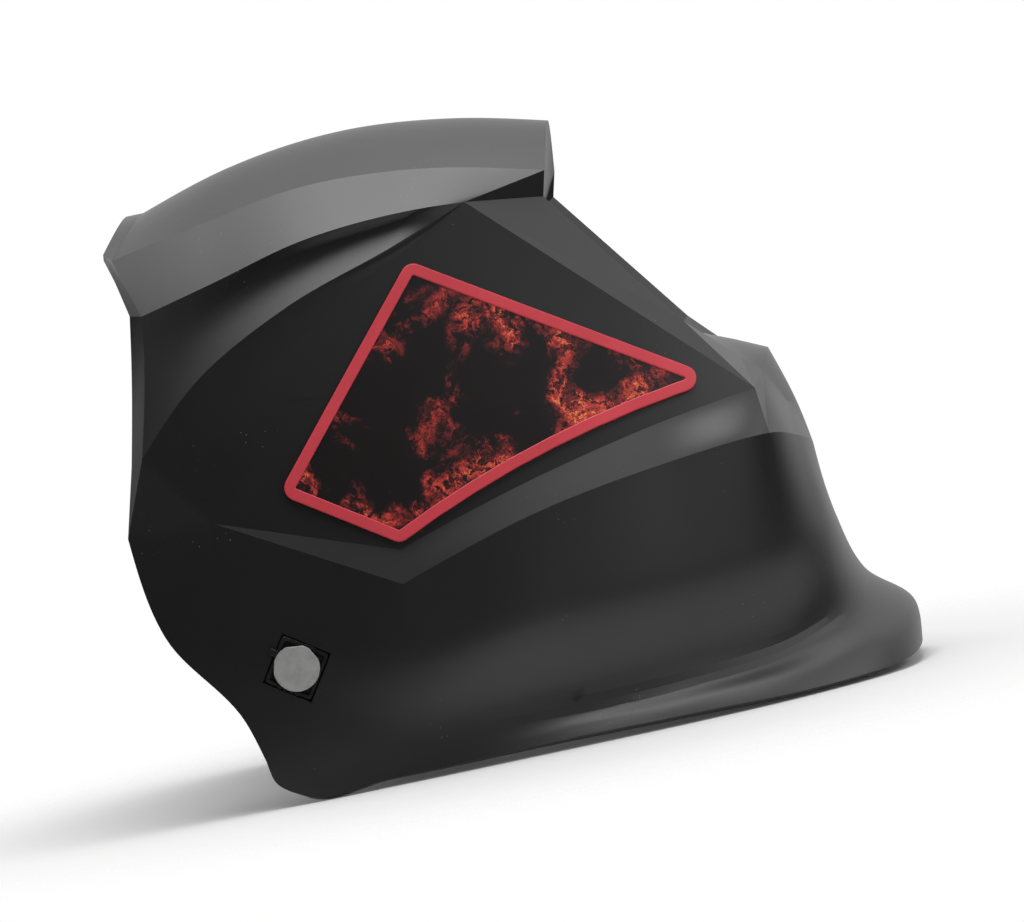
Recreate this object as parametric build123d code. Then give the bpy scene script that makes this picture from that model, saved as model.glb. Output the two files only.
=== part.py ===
"""Welding helmet: a creased shell with its filter cartridge, side plates and ratchet headgear.

Millimetres. +Z is up, the face looks along -Y, and the wearer's right side is at -X.
The helmet stands on its lower rim, with the headgear folded up inside the shell.
"""

import math
import os

from build123d import *

# ---------------------------------------------------------------- driving dimensions
SHELL_WIDTH = 233.0      # widest, across the jaw
SHELL_LENGTH = 294.0     # chin to the rear edge
SHELL_HEIGHT = 253.0     # rim to crown
SHELL_WALL = 2.8

WINDOW_WIDTH = 96.0     # opening through the shell
WINDOW_HEIGHT = 62.0
WINDOW_CORNER = 8.0
LENS_WIDTH = 110.0       # cover lens and filter cartridge
LENS_HEIGHT = 90.0
LENS_THICK = 1.0
LENS_DROP = 6.0          # window's middle down to the cartridge's middle
CARTRIDGE_FRONT = 4.0    # thickness of the cartridge's front housing
CARTRIDGE_REAR = 5.0
VIEW_WIDTH = 96.0        # filter glass
VIEW_HEIGHT = 44.0
VIEW_RISE = 11.0         # height of the glass above the cartridge's middle
CARRIER_DEPTH = 10.0     # from the window surround in to the carrier's flange
CARRIER_WALL = 2.2
BEZEL_SINK = 0.5         # how far the carrier's tunnel ends inside the window surround

BADGE_FRAME_THICK = 1.6
BADGE_INSERT_THICK = 1.0
BADGE_BORDER = 4.5
BADGE_CORNER = 5.0

PIVOT_Y = 92.5           # headgear axis
PIVOT_Z = 51.7
PIVOT_SQUARE = 20.4
PIVOT_SLANT = 33.4       # turn of the square, in degrees
FLANGE_RADIUS = 16.0
DISC_RADIUS = 9.0
BOLT_RADIUS = 5.0
ARM_THICK = 3.0
KNOB_RADIUS = 15.0
KNOB_DEPTH = 11.0

BAND_HALF_WIDTH = 77.0   # headband's middle line
BAND_REACH = 43.0        # pivot axis to the forehead
BAND_THICK = 1.6
BAND_HEIGHT = 26.0
BAND_BEND = 20.0         # pivot axis back to where the sides run straight
BAND_END = 62.0          # pivot axis back to the ends of the front band
REAR_STRAIGHT = 75.0     # pivot axis back to where the rear band bends
REAR_REACH = 137.0       # pivot axis back to the nape
REAR_OVERLAP = 22.0      # how far the rear band lies over the front band
REAR_HEIGHT = 22.0
RATCHET_TRAVEL = 12.0
RATCHET_RADIUS = 18.0
STRAP_BACK = 46.0        # pivot axis back to the crown strap
STRAP_WIDTH = 20.0
STRAP_RISE = 95.0
PAD_THICK = 5.0
HEADGEAR_FOLD = 101.8    # turn of the stowed headgear, in degrees

GAP = 0.3                # between parts that move past each other
RUNNING = 0.05           # between a shaft and its bore, on the radius

# ---------------------------------------------------------------- shell: named points
# Half of the shell, as (half width, depth, height) on a helmet of the nominal size.
NOMINAL = (233.0, 294.0, 253.0)
POINTS = {
    # crown ridge on the middle plane, from the rear lip to the brow
    "mS": (0, 133, 237), "m0": (0, 126, 237), "m1": (0, 88, 248), "m2": (0, 40, 253),
    "m3": (0, -2, 249), "m4": (0, -41, 240),
    # edge of the crown's flat top
    "aS": (50, 140, 223), "a0": (53, 137, 220), "a1": (56, 98, 227), "a2": (58, 58, 233),
    "a3": (58, 14, 231), "a4": (55, -37.5, 220),
    # lower edge of the crown's side band, which ends at the temple point
    "bS": (74, 132, 197), "b0": (77, 127, 196), "b1": (80, 97, 203), "b2": (81, 60, 212),
    "b3": (76, 15, 215), "T": (70, -5, 214),
    # hollow between the crown band and the cheek arch
    "dS": (80, 135, 176), "d0": (83.6, 129, 178.3), "d1": (82.6, 104, 190), "d2": (79.7, 66, 204.5),
    "d3": (75.5, 20, 211),
    # crease of the cheek arch
    "arcS": (94, 141, 140), "arc0": (97, 136, 142), "arc1": (93, 111, 166),
    "arc2": (88, 70, 188), "arc3": (80.5, 26, 202.5),
    # upper edge of the side plate's recess
    "tlA": (86, 46, 184), "tlB": (97, 85, 150), "L": (104, 113, 112),
    # lower edge of the recess, and the edge of the bevel under it
    "Fi": (106, 45, 88), "f2": (97, -11, 104), "f4": (84, -58, 114),
    "Bt": (111.5, 46, 75), "k2": (103.5, -13, 92), "k3": (93, -59, 99),
    # crest of the window surround, and the corners of its sunk floor
    "rt": (54, -35, 210), "rM": (61, -79, 150), "R": (65, -101, 120),
    "wT": (0, -31.2, 207.6), "st": (49.5, -31.2, 207.6),
    "wB": (0, -75.4, 147.4), "sM": (49.5, -75.4, 147.4),
    # nose
    "n0": (0, -96, 139), "c0": (36, -98, 132), "n1": (0, -109, 133), "n2": (0, -116, 109), "n3": (0, -119, 92),
    "c1": (36, -105, 126), "q": (22, -112, 111), "c2": (75, -103, 102), "c3": (47, -113.5, 98),
    # rear edge of the cheek, down to the ear tip
    "e1": (104, 147, 113), "e3": (110, 140, 73), "e5": (113, 116, 35), "tipA": (115, 109, 10),
    "fe": (114.3, 111.5, 20), "tipB": (116, 100, 3.5), "fq": (115, 98, 13), "p": (111, 113, 69), "q5": (114, 96, 27),
    # middle of the jaw wall
    "hB": (114, 52, 49), "hk2": (108, -10, 57), "hk3": (97, -57, 58), "hC2": (76, -101, 60),
    "hc3": (47, -117, 62), "hn3": (0, -122, 62),
    # groove above the rim's flare, and the top of the flare
    "gB": (113.5, 59, 18), "gk2": (105.5, -4, 12.5), "gk3": (94.5, -54, 12.5), "gC2": (75, -95, 15.5),
    "gc3": (47, -119.5, 25), "gn3": (0, -129, 38.5),
    "fB": (114.7, 61, 9.5), "fk2": (110.5, -2, 8), "fk3": (101.5, -54, 7.5), "fC2": (85, -99, 8.5),
    "fc3": (57, -132, 13), "fn3": (0, -146.4, 21),
    # corners of the side plate, and the middle of its bowed lower edge
    "kT": (78, 21, 196), "kR": (70, -85, 127), "kM": (91, -26, 115), "kB": (105, 44, 90),
    "kL": (101, 85, 119),
    # rim
    "r2": (116, 64, 3), "r4": (115, -1, 4), "r6": (107, -52, 3.5), "r8": (92, -99, 2.3),
    "r9": (62, -134.5, 3.1), "chin": (0, -146.1, 7),
}
# Lines that run smoothly through their points. A name with ~ is the mirrored point.
SMOOTH = [
    "mS m0", "m0 m1 m2 m3 m4", "a0 a1 a2 a3 a4", "b0 b1 b2 b3 T", "d0 d1 d2 d3",
    "arc0 arc1 arc2 arc3 T", "L tlB tlA T", "Fi f2 f4 R", "Bt k2 k3 c2 c3 n3 ~c3",
    "~aS mS aS", "~a0 m0 a0", "~a1 m1 a1", "~a2 m2 a2", "~a3 m3 a3", "~a4 m4 a4",
    "b0 d0 arc0", "b1 d1 arc1", "b2 d2 arc2", "b3 d3 arc3", "bS dS arcS",
    "~c0 n0 c0", "~c1 n1 c1", "n1 n2 n3", "~q n2 q",
    "n3 hn3 gn3 fn3 chin", "c3 hc3 gc3 fc3 r9", "c2 hC2 gC2 fC2 r8", "k3 hk3 gk3 fk3 r6",
    "k2 hk2 gk2 fk2 r4", "Bt hB gB fB r2", "L p q5 fq tipB", "fe fq fB fk2 fk3 fC2 fc3 fn3 ~fc3",
    "e3 p hB hk2 hk3 hC2 hc3 hn3 ~hc3", "e5 q5 gB gk2 gk3 gC2 gc3 gn3 ~gc3",
    "e1 e3 e5 fe tipA tipB r2 r4 r6 r8 r9 chin ~r9",
]
# Faces by their corners, in order round each one.
CROWN_TOP = ["mS m0 a0 aS", "m0 m1 a1 a0", "m1 m2 a2 a1", "m2 m3 a3 a2", "m3 m4 a4 a3"]
CROWN_BAND = ["aS a0 b0 bS", "a0 a1 b1 b0", "a1 a2 b2 b1", "a2 a3 b3 b2", "a3 a4 T b3"]
HOLLOW = ["bS b0 d0 dS", "b0 b1 d1 d0", "b1 b2 d2 d1", "b2 b3 d3 d2", "b3 T arc3 d3",
          "dS d0 arc0 arcS", "d0 d1 arc1 arc0", "d1 d2 arc2 arc1", "d2 d3 arc3 arc2"]
ARCH = ["arcS arc0 e1", "arc0 L e1", "arc0 arc1 tlB L", "arc1 arc2 tlA tlB", "arc2 arc3 T tlA"]
RECESS = ["T R f4 tlA", "tlA f4 f2 tlB", "tlB f2 Fi L"]
BEVEL = ["L Fi Bt", "Fi f2 k2 Bt", "f2 f4 k3 k2", "f4 R c2 k3"]
FRONT = ["T rt rM", "T rM R", "a4 rt T", "m4 wT st a4", "a4 st rt", "rt st sM rM", "wT wB sM st",
         "wB n0 c0 sM", "sM c0 rM", "rM c0 R"]
NOSE = ["n0 n1 c1 c0", "c0 c1 R", "R c1 c2", "n1 n2 q c1", "n2 n3 c3 q", "c1 q c3 c2"]
JAW = ["L p e3 e1", "p q5 e5 e3", "q5 fq fe e5", "fq tipB tipA fe",
       "L Bt hB p", "p hB gB q5", "q5 gB fB fq", "fq fB r2 tipB",
       "Bt k2 hk2 hB", "hB hk2 gk2 gB", "gB gk2 fk2 fB", "fB fk2 r4 r2",
       "k2 k3 hk3 hk2", "hk2 hk3 gk3 gk2", "gk2 gk3 fk3 fk2", "fk2 fk3 r6 r4",
       "k3 c2 hC2 hk3", "hk3 hC2 gC2 gk3", "gk3 gC2 fC2 fk3", "fk3 fC2 r8 r6",
       "c2 c3 hc3 hC2", "hC2 hc3 gc3 gC2", "gC2 gc3 fc3 fC2", "fC2 fc3 r9 r8",
       "c3 n3 hn3 hc3", "hc3 hn3 gn3 gc3", "gc3 gn3 fn3 fc3", "fc3 fn3 chin r9"]
SHELL_FACES = CROWN_TOP + CROWN_BAND + HOLLOW + ARCH + RECESS + BEVEL + FRONT + NOSE + JAW
RIM = "mS aS bS dS arcS e1 e3 e5 fe tipA tipB r2 r4 r6 r8 r9 chin"
# An upright line inside the shell, from a low to a high end, tells its inside from its outside.
CORE_DEPTH = 30.0
CORE_LOW, CORE_HIGH = 8.0, 110.0


# ---------------------------------------------------------------- curved-face tools
def mirrored_name(name):
    """The same point on the other half; points on the middle plane are their own mirror."""
    plain = name.lstrip("~")
    if POINTS[plain][0] == 0:
        return plain
    return plain if name.startswith("~") else "~" + plain


def both_halves(lines):
    """Each line of names, and its mirror image where that is another line."""
    result = []
    for line in lines:
        names = line.split()
        other = [mirrored_name(name) for name in names]
        result.append(names)
        if set(other) != set(names):
            result.append(other[::-1])
    return result


def shell_points():
    """Every named point of both halves, at the driving width, length and height."""
    sizes = (SHELL_WIDTH, SHELL_LENGTH, SHELL_HEIGHT)
    wide, deep, tall = (size / nominal for size, nominal in zip(sizes, NOMINAL))
    points = {}
    for name, (x, y, z) in POINTS.items():
        points[name] = Vector(x * wide, y * deep, z * tall)
        if x:
            points["~" + name] = Vector(-x * wide, y * deep, z * tall)
    return points


def nearest_core(place):
    """The place on the shell's core line that is level with a place, as far as the line reaches."""
    return Vector(0, CORE_DEPTH, min(max(place.Z, CORE_LOW), CORE_HIGH))


def smooth_line(points):
    """Cubic pieces through the points: a list of four control points for each piece."""
    last = len(points) - 1
    steps = [points[i + 1] - points[i] for i in range(last)]
    slopes = [None] * len(points)
    for i in range(1, last):
        before, after = steps[i - 1], steps[i]
        total = before.length + after.length
        slopes[i] = before / before.length * (after.length / total)
        slopes[i] += after / after.length * (before.length / total)
    pieces = []
    for i, step in enumerate(steps):
        start = slopes[i] * step.length if slopes[i] else None
        end = slopes[i + 1] * step.length if slopes[i + 1] else None
        if start is None:
            start = (step * 3 - end) / 2 if end else step
        if end is None:
            end = (step * 3 - start) / 2
        pieces.append([points[i], points[i] + start / 3, points[i + 1] - end / 3, points[i + 1]])
    return pieces


class Network:
    """Curved faces that share their edges, spanned over a set of named points."""

    def __init__(self, points):
        self.points = points
        self.edges = {}
        for names in both_halves(SMOOTH):
            pieces = smooth_line([points[name] for name in names])
            for a, b, piece in zip(names, names[1:], pieces):
                self.edges[a, b] = piece
                self.edges[b, a] = piece[::-1]

    def edge(self, a, b):
        """Control points from a to b: a stretch of a smooth line, or else a straight one."""
        start, end = self.points[a], self.points[b]
        straight = [start + (end - start) * (i / 3) for i in range(4)]
        return self.edges.get((a, b), straight)

    def grid(self, a, b, c, d):
        """The 4 by 4 control points of the face with these corners."""
        rows = [[None] * 4 for _ in range(4)]
        rows[0], rows[3] = list(self.edge(a, b)), list(self.edge(d, c))
        left, right = self.edge(a, d), self.edge(b, c)
        for i in (1, 2):
            rows[i][0], rows[i][3] = left[i], right[i]
        for i, corner_row in ((1, 0), (2, 3)):
            for j, corner_column in ((1, 0), (2, 3)):
                corner = rows[corner_row][corner_column]
                rows[i][j] = rows[corner_row][j] + rows[i][corner_column] - corner
        return rows

    def face(self, names):
        """A curved face with four corners, or a flat one with three."""
        if len(names) == 3:
            return Face(Wire.make_polygon([self.points[name] for name in names]))
        return Face.make_bezier_surface(self.grid(*names))

    def corner_normals(self, names):
        """The outward normal at each corner of a face."""
        count = len(names)
        for i, name in enumerate(names):
            here = self.points[name]
            if count == 3:
                ahead, behind = (self.points[names[i - 2]] - here), (self.points[names[i - 1]] - here)
            else:
                ahead = self.edge(name, names[(i + 1) % count])[1] - here
                behind = self.edge(name, names[i - 1])[1] - here
            normal = ahead.cross(behind).normalized()
            if normal.dot(here - nearest_core(here)) < 0:
                normal = -normal
            yield name, normal

    def moved(self, faces, distance):
        """The points moved square to these faces, outwards if distance is positive."""
        normals = {}
        for names in faces:
            for name, normal in self.corner_normals(names):
                normals.setdefault(name, []).append(normal)
        moved = dict(self.points)
        for name, group in normals.items():
            mean = sum(group, Vector(0, 0, 0)).normalized()
            spread = sum(mean.dot(normal) for normal in group) / len(group)
            moved[name] = self.points[name] + mean * (distance / max(spread, 0.7))
        return moved


def closing_face(outer, inner, a, b):
    """The face between the same edge of two networks."""
    near, far = outer.edge(a, b), inner.edge(a, b)
    rows = [[p + (q - p) * (i / 3) for p, q in zip(near, far)] for i in range(4)]
    return Face.make_bezier_surface(rows)


def closed_solid(faces):
    """A solid from faces that close a space."""
    solid = Solid(Shell(faces))
    if solid.volume < 0:
        solid = Solid(Shell([-face for face in solid.faces()]))
    return solid


def layer(network, faces, low, high, border):
    """The solid between two distances from some faces of a network, inside a border line."""
    bottom, top = (Network(network.moved(faces, distance)) for distance in (low, high))
    skins = [net.face(names) for net in (bottom, top) for names in faces]
    sides = [closing_face(top, bottom, a, b) for a, b in zip(border, border[1:])]
    return closed_solid(skins + sides)


def shell():
    """One moulded wall, with the window opening and a square hole at each headgear pivot."""
    outer = Network(shell_points())
    faces = both_halves(SHELL_FACES)
    inner = Network(outer.moved(faces, -SHELL_WALL))
    skins = [net.face(names) for net in (outer, inner) for names in faces]
    rim = RIM.split()
    rim += [mirrored_name(name) for name in rim[-2::-1]]
    sides = [closing_face(outer, inner, a, b) for a, b in zip(rim, rim[1:])]
    body = closed_solid(skins + sides)
    body -= window_block(WINDOW_WIDTH, WINDOW_HEIGHT, -30, 30, WINDOW_CORNER, up=LENS_DROP)
    hole = pivot_frame() * Box(PIVOT_SQUARE, PIVOT_SQUARE, 20)
    return body - hole - hole.mirror(Plane.YZ)


# ---------------------------------------------------------------- window and filter cartridge
def window_frame():
    """Plane of the window surround, from the cartridge's middle: right, up the slope, outwards."""
    points = shell_points()
    top, bottom = points["wT"], points["wB"]
    outward = Vector(1, 0, 0).cross(top - bottom)
    surround = Plane(origin=(top + bottom) / 2, x_dir=(1, 0, 0), z_dir=outward)
    return surround.shift_origin(surround.origin - surround.y_dir * LENS_DROP)


def window_block(width, height, low, high, corner=0.0, right=0.0, up=0.0):
    """A slab square to the window, between two depths, with rounded corners if asked."""
    outline = RectangleRounded(width, height, corner) if corner else Rectangle(width, height)
    slab = extrude(outline, high - low)
    return window_frame() * Pos(right, up, low) * slab


def window_rod(radius, low, high, right=0.0, up=0.0):
    """A round rod square to the window, between two depths."""
    return window_frame() * Pos(right, up, low) * extrude(Circle(radius), high - low)


FLANGE_BACK = -CARRIER_DEPTH - CARRIER_WALL
COVER_BACK = FLANGE_BACK - LENS_THICK
SEAM = COVER_BACK - CARTRIDGE_FRONT
CARTRIDGE_BACK = SEAM - CARTRIDGE_REAR
INNER_LENS_BACK = CARTRIDGE_BACK - LENS_THICK
RAIL_BACK = CARTRIDGE_BACK - 5
CONTROLS_UP = -(LENS_HEIGHT / 2 - 15)      # middle of the row of controls
GLASS_MARGIN = 1.0                         # how deep the glass sits at both faces
SEAT = 0.3                                 # cartridge in its rails
DIALS = {"sensitivity_knob": (-42, 7), "delay_knob": (-23, 7), "shade_knob": (-1, 9)}
DIAL_STEM = 2.5
BUTTON = (17, 5.0, 3.0)                    # right, up from the row, radius
BUTTON_TRAVEL = 1.2
SWITCH = (17, -6.0)
SWITCH_TRAVEL = 4.0
BATTERY = (39, 0)
CELL_RADIUS = 10.0
CELL_THICK = 3.2
LATCH_WIDTH = 60.0
LATCH_PIN = 1.5


def lens_carrier():
    """Tunnel through the window opening, flange behind it, and rails round the cartridge."""
    lip = CARRIER_WALL
    tunnel = window_block(WINDOW_WIDTH, WINDOW_HEIGHT, FLANGE_BACK, -BEZEL_SINK, WINDOW_CORNER,
                          up=LENS_DROP)
    outer_width, outer_height = (size + 2 * (SEAT + lip) for size in (LENS_WIDTH, LENS_HEIGHT))
    block = window_block(outer_width, outer_height, RAIL_BACK, -CARRIER_DEPTH)
    pocket = window_block(LENS_WIDTH + 2 * SEAT, LENS_HEIGHT + 2 * SEAT, RAIL_BACK, FLANGE_BACK)
    opening = window_block(WINDOW_WIDTH - 2 * lip, WINDOW_HEIGHT - 2 * lip, FLANGE_BACK, -BEZEL_SINK,
                           WINDOW_CORNER - lip, up=LENS_DROP)
    body = tunnel + block - pocket - opening
    for side in (-1, 1):
        right = side * (LATCH_WIDTH / 2 + GAP + lip / 2)
        up = outer_height / 2 + 3.5
        body += window_block(lip, 7, RAIL_BACK, RAIL_BACK + 7, right=right, up=up)
    up, depth = latch_axis()
    notch = window_block(LATCH_WIDTH + 2 * GAP, 10, RAIL_BACK, depth - 1 + GAP, up=outer_height / 2)
    return body - latch_pin() - notch


def latch_axis():
    """Height and depth of the latch's pin in the window's frame."""
    return LENS_HEIGHT / 2 + SEAT + CARRIER_WALL + 4, RAIL_BACK + 3.5


def along_window(radius, length):
    """A rod across the window, at the latch's pin."""
    up, depth = latch_axis()
    rod = Rot(Y=90) * Cylinder(radius, length)
    return window_frame() * Pos(0, up, depth) * rod


def latch_pin():
    return along_window(LATCH_PIN, LATCH_WIDTH + 2 * (GAP + CARRIER_WALL))


def cartridge_latch():
    """Bar behind the cartridge's top edge, hinged on a pin between the carrier's lugs."""
    up, depth = latch_axis()
    reach = 20.0
    leaf = window_block(LATCH_WIDTH, reach, depth - 3, depth - 1, up=up - reach / 2)
    nib = window_block(LATCH_WIDTH - 10, 2, depth - 3, CARTRIDGE_BACK - GAP, up=up - reach + 5)
    return leaf + nib + along_window(3, LATCH_WIDTH) - along_window(LATCH_PIN + RUNNING, LATCH_WIDTH + 1)


def cover_lens_outer():
    return window_block(LENS_WIDTH, LENS_HEIGHT, COVER_BACK, FLANGE_BACK, 3)


def view_block(low, high, margin=0.0):
    """The filter glass's place in the cartridge, between two depths."""
    return window_block(VIEW_WIDTH - 2 * margin, VIEW_HEIGHT - 2 * margin, low, high, up=VIEW_RISE)


def solar_cell():
    return window_block(50, 13, COVER_BACK - 1, COVER_BACK, up=CONTROLS_UP)


def arc_sensor(side):
    return window_rod(3.5, COVER_BACK - 1.5, COVER_BACK, side * 38, CONTROLS_UP)


def circuit_board():
    return window_block(76, 20, SEAM - 1.6, SEAM, right=-12, up=CONTROLS_UP)


def coin_cell():
    right, up = BATTERY
    return window_rod(CELL_RADIUS, CARTRIDGE_BACK + 0.2, CARTRIDGE_BACK + 0.2 + CELL_THICK, right,
                      CONTROLS_UP + up)


def battery_cover():
    right, up = BATTERY
    lid = window_block(24, 25, CARTRIDGE_BACK - 1.4, CARTRIDGE_BACK, 2, right, CONTROLS_UP + up)
    return lid - window_block(14, 1.2, CARTRIDGE_BACK - 1.4, CARTRIDGE_BACK - 0.8, 0, right, CONTROLS_UP + 6)


def cartridge_front():
    """Front housing, with the glass's window and seats for the solar cell and the arc sensors."""
    body = window_block(LENS_WIDTH, LENS_HEIGHT, SEAM, COVER_BACK, 3)
    body -= view_block(SEAM, COVER_BACK)
    return body - solar_cell() - arc_sensor(-1) - arc_sensor(1)


def cartridge_rear():
    """Rear housing, with pockets for the board and the cell and bores for the controls."""
    body = window_block(LENS_WIDTH, LENS_HEIGHT, CARTRIDGE_BACK, SEAM, 3) - view_block(CARTRIDGE_BACK, SEAM)
    body -= circuit_board()
    right, up = BATTERY
    body -= window_rod(CELL_RADIUS, CARTRIDGE_BACK, CARTRIDGE_BACK + 0.2 + CELL_THICK, right, CONTROLS_UP + up)
    for right, _ in DIALS.values():
        body -= window_rod(DIAL_STEM + RUNNING, CARTRIDGE_BACK, SEAM - 1.6, right, CONTROLS_UP)
    right, up, radius = BUTTON
    body -= window_rod(radius + RUNNING, CARTRIDGE_BACK, SEAM - 1.6, right, CONTROLS_UP + up)
    right, up = SWITCH
    slot = window_block(4 + SWITCH_TRAVEL + 2 * GAP, 3 + 2 * GAP, CARTRIDGE_BACK, SEAM - 1.6,
                        right=right, up=CONTROLS_UP + up)
    return body - slot


def filter_glass():
    return view_block(CARTRIDGE_BACK + GLASS_MARGIN, COVER_BACK - GLASS_MARGIN)


def cover_lens_inner():
    return window_block(VIEW_WIDTH + 6, VIEW_HEIGHT + 4, INNER_LENS_BACK, CARTRIDGE_BACK, 3, up=VIEW_RISE)


def dial(name):
    """A round control with a pointer groove, on a stem that turns in the rear housing."""
    right, radius = DIALS[name]
    low = CARTRIDGE_BACK - GAP - 3.5
    body = window_rod(radius, low, CARTRIDGE_BACK - GAP, right, CONTROLS_UP)
    body -= window_block(1.4, radius, low, low + 1, right=right, up=CONTROLS_UP + radius / 2)
    return body + window_rod(DIAL_STEM, CARTRIDGE_BACK - GAP, SEAM - 1.6 - GAP, right, CONTROLS_UP)


def test_button():
    right, up, radius = BUTTON
    return window_rod(radius, CARTRIDGE_BACK - 2, SEAM - 1.6 - BUTTON_TRAVEL - GAP, right, CONTROLS_UP + up)


def mode_switch():
    """A small slider, at one end of its slot."""
    right, up = SWITCH
    place = right - SWITCH_TRAVEL / 2
    return window_block(4, 3, CARTRIDGE_BACK - 1.6, SEAM - 1.6 - GAP, right=place, up=CONTROLS_UP + up)


# ---------------------------------------------------------------- side plates
def kite(shrink):
    """The side plate's outline, brought in by a margin and run across the shell's left side."""
    points = shell_points()
    top, front, bow, foot, rear = (flat(points[name]) for name in ("kT", "kR", "kM", "kB", "kL"))
    sides = [Line(foot, rear), Line(rear, top), Line(top, front), ThreePointArc(front, bow, foot)]
    outline = make_face(sides)
    outline = fillet(outline.vertices(), BADGE_CORNER)
    if shrink:
        outline = offset(outline, -shrink, kind=Kind.INTERSECTION)
    return extrude(Plane.YZ * outline, SHELL_WIDTH)


def side_plate(thick, shrink):
    """A thin curved plate that follows the recess in the shell's left side, cut to the kite."""
    faces = [names.split() for names in RECESS]
    border = "T R f4 f2 Fi L tlB tlA T".split()
    blank = layer(Network(shell_points()), faces, 0.0, thick, border)
    return blank & kite(shrink)


def badge_frame():
    return side_plate(BADGE_FRAME_THICK, 0.0) - kite(BADGE_BORDER)


def badge_insert():
    return side_plate(BADGE_INSERT_THICK, BADGE_BORDER)


def flat(point):
    """A point's place in the plane square to X."""
    return Vector(point.Y, point.Z, 0)


# ---------------------------------------------------------------- headgear pivots
def wall_at_pivot():
    """Half width of the shell's outer wall at the headgear axis."""
    points = shell_points()
    around = [points[name].X for name in ("p", "q5", "hB", "gB")]
    return sum(around) / len(around)


def pivot_frame():
    """Plane of the right pivot: its square's sides, and outwards, from the outer wall."""
    turn = math.radians(-PIVOT_SLANT)
    ahead = (0, -math.cos(turn), math.sin(turn))
    return Plane(origin=(-wall_at_pivot(), PIVOT_Y, PIVOT_Z), x_dir=ahead, z_dir=(-1, 0, 0))


def pivot_rod(radius, low, high):
    """A round rod on the right pivot's axis, between two distances out from the wall."""
    return pivot_frame() * Pos(0, 0, low) * extrude(Circle(radius), high - low)


SQUARE_FACE = -0.6                       # the square stands just inside the wall
FLANGE_FACE = -SHELL_WALL - 1.4          # the wall curves, so the flange stands clear of it
FLANGE_THICK = 2.4
ARM_FACE = FLANGE_FACE - FLANGE_THICK - GAP
WASHER_FACE = ARM_FACE - ARM_THICK - GAP
WASHER_THICK = 1.2
KNOB_FACE = WASHER_FACE - WASHER_THICK - GAP
BOLT_END = KNOB_FACE - 0.7 * KNOB_DEPTH
DISC_PROUD = 1.2


def pivot_plate():
    """Plate inside the wall, with a square boss that fills the wall's square hole."""
    boss = pivot_frame() * Pos(0, 0, FLANGE_FACE) * extrude(
        Rectangle(PIVOT_SQUARE, PIVOT_SQUARE), SQUARE_FACE - FLANGE_FACE)
    flange = pivot_rod(FLANGE_RADIUS, FLANGE_FACE - FLANGE_THICK, FLANGE_FACE)
    return boss + flange - pivot_rod(BOLT_RADIUS, FLANGE_FACE - FLANGE_THICK, SQUARE_FACE)


def pivot_bolt():
    """Shank with a flat round head over the square."""
    head = pivot_rod(DISC_RADIUS, SQUARE_FACE, DISC_PROUD)
    return head + pivot_rod(BOLT_RADIUS, BOLT_END, SQUARE_FACE)


def pivot_washer():
    ring = pivot_rod(BOLT_RADIUS + 5, WASHER_FACE - WASHER_THICK, WASHER_FACE)
    return ring - pivot_rod(BOLT_RADIUS, WASHER_FACE - WASHER_THICK, WASHER_FACE)


def pivot_knob():
    """Fluted knob that turns on the bolt's end, inside the shell."""
    body = pivot_rod(KNOB_RADIUS, KNOB_FACE - KNOB_DEPTH, KNOB_FACE)
    body -= pivot_rod(BOLT_RADIUS + RUNNING, BOLT_END - GAP, KNOB_FACE)
    flutes = pivot_frame() * Pos(0, 0, KNOB_FACE - KNOB_DEPTH) * PolarLocations(KNOB_RADIUS + 1.5, 10)
    for place in flutes:
        body -= place * extrude(Circle(3), KNOB_DEPTH)
    return body


# ---------------------------------------------------------------- headgear
# It is modelled as worn, with the forehead towards -Y and the pivot axis along X through the
# origin, and then folded up into the shell.
def folded(piece):
    return Pos(0, PIVOT_Y, PIVOT_Z) * Rot(X=HEADGEAR_FOLD) * piece


def front_outline(margin, end=BAND_END):
    """The front band's plan: half an ellipse over the forehead and two straight sides."""
    half = BAND_HALF_WIDTH + margin
    oval = Pos(0, BAND_BEND) * Ellipse(half, BAND_REACH + BAND_BEND + margin)
    front = oval & (Pos(0, BAND_BEND - half) * Rectangle(3 * half, 2 * half))
    return front + Pos(0, (BAND_BEND + end) / 2) * Rectangle(2 * half, end - BAND_BEND)


def rear_outline(margin, start=BAND_END - REAR_OVERLAP):
    """The rear band's plan: two straight sides and half an ellipse round the nape."""
    half = BAND_HALF_WIDTH + BAND_THICK + 2 * GAP + margin
    oval = Pos(0, REAR_STRAIGHT) * Ellipse(half, REAR_REACH - REAR_STRAIGHT + margin)
    rear = oval & (Pos(0, REAR_STRAIGHT + half) * Rectangle(3 * half, 2 * half))
    return rear + Pos(0, (start + REAR_STRAIGHT) / 2) * Rectangle(2 * half, REAR_STRAIGHT - start)


def upright(outline, height, middle=0.0):
    return Pos(0, 0, middle - height / 2) * extrude(outline, height)


def headband_front():
    outer = upright(front_outline(BAND_THICK / 2), BAND_HEIGHT)
    return folded(outer - upright(front_outline(-BAND_THICK / 2, BAND_END + 1), BAND_HEIGHT))


def rear_band():
    outer = upright(rear_outline(BAND_THICK / 2), REAR_HEIGHT)
    start = BAND_END - REAR_OVERLAP - 1
    return folded(outer - upright(rear_outline(-BAND_THICK / 2, start), REAR_HEIGHT))


def sweatband():
    """Soft pad along the inside of the forehead."""
    outer = upright(front_outline(-BAND_THICK / 2 - GAP), BAND_HEIGHT + 4)
    pad = outer - upright(front_outline(-BAND_THICK / 2 - GAP - PAD_THICK, BAND_END + 1), BAND_HEIGHT + 4)
    keep = Pos(0, -BAND_REACH / 2 - 1) * Box(150, BAND_REACH + 10, 60)
    return folded(pad & keep)


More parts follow.
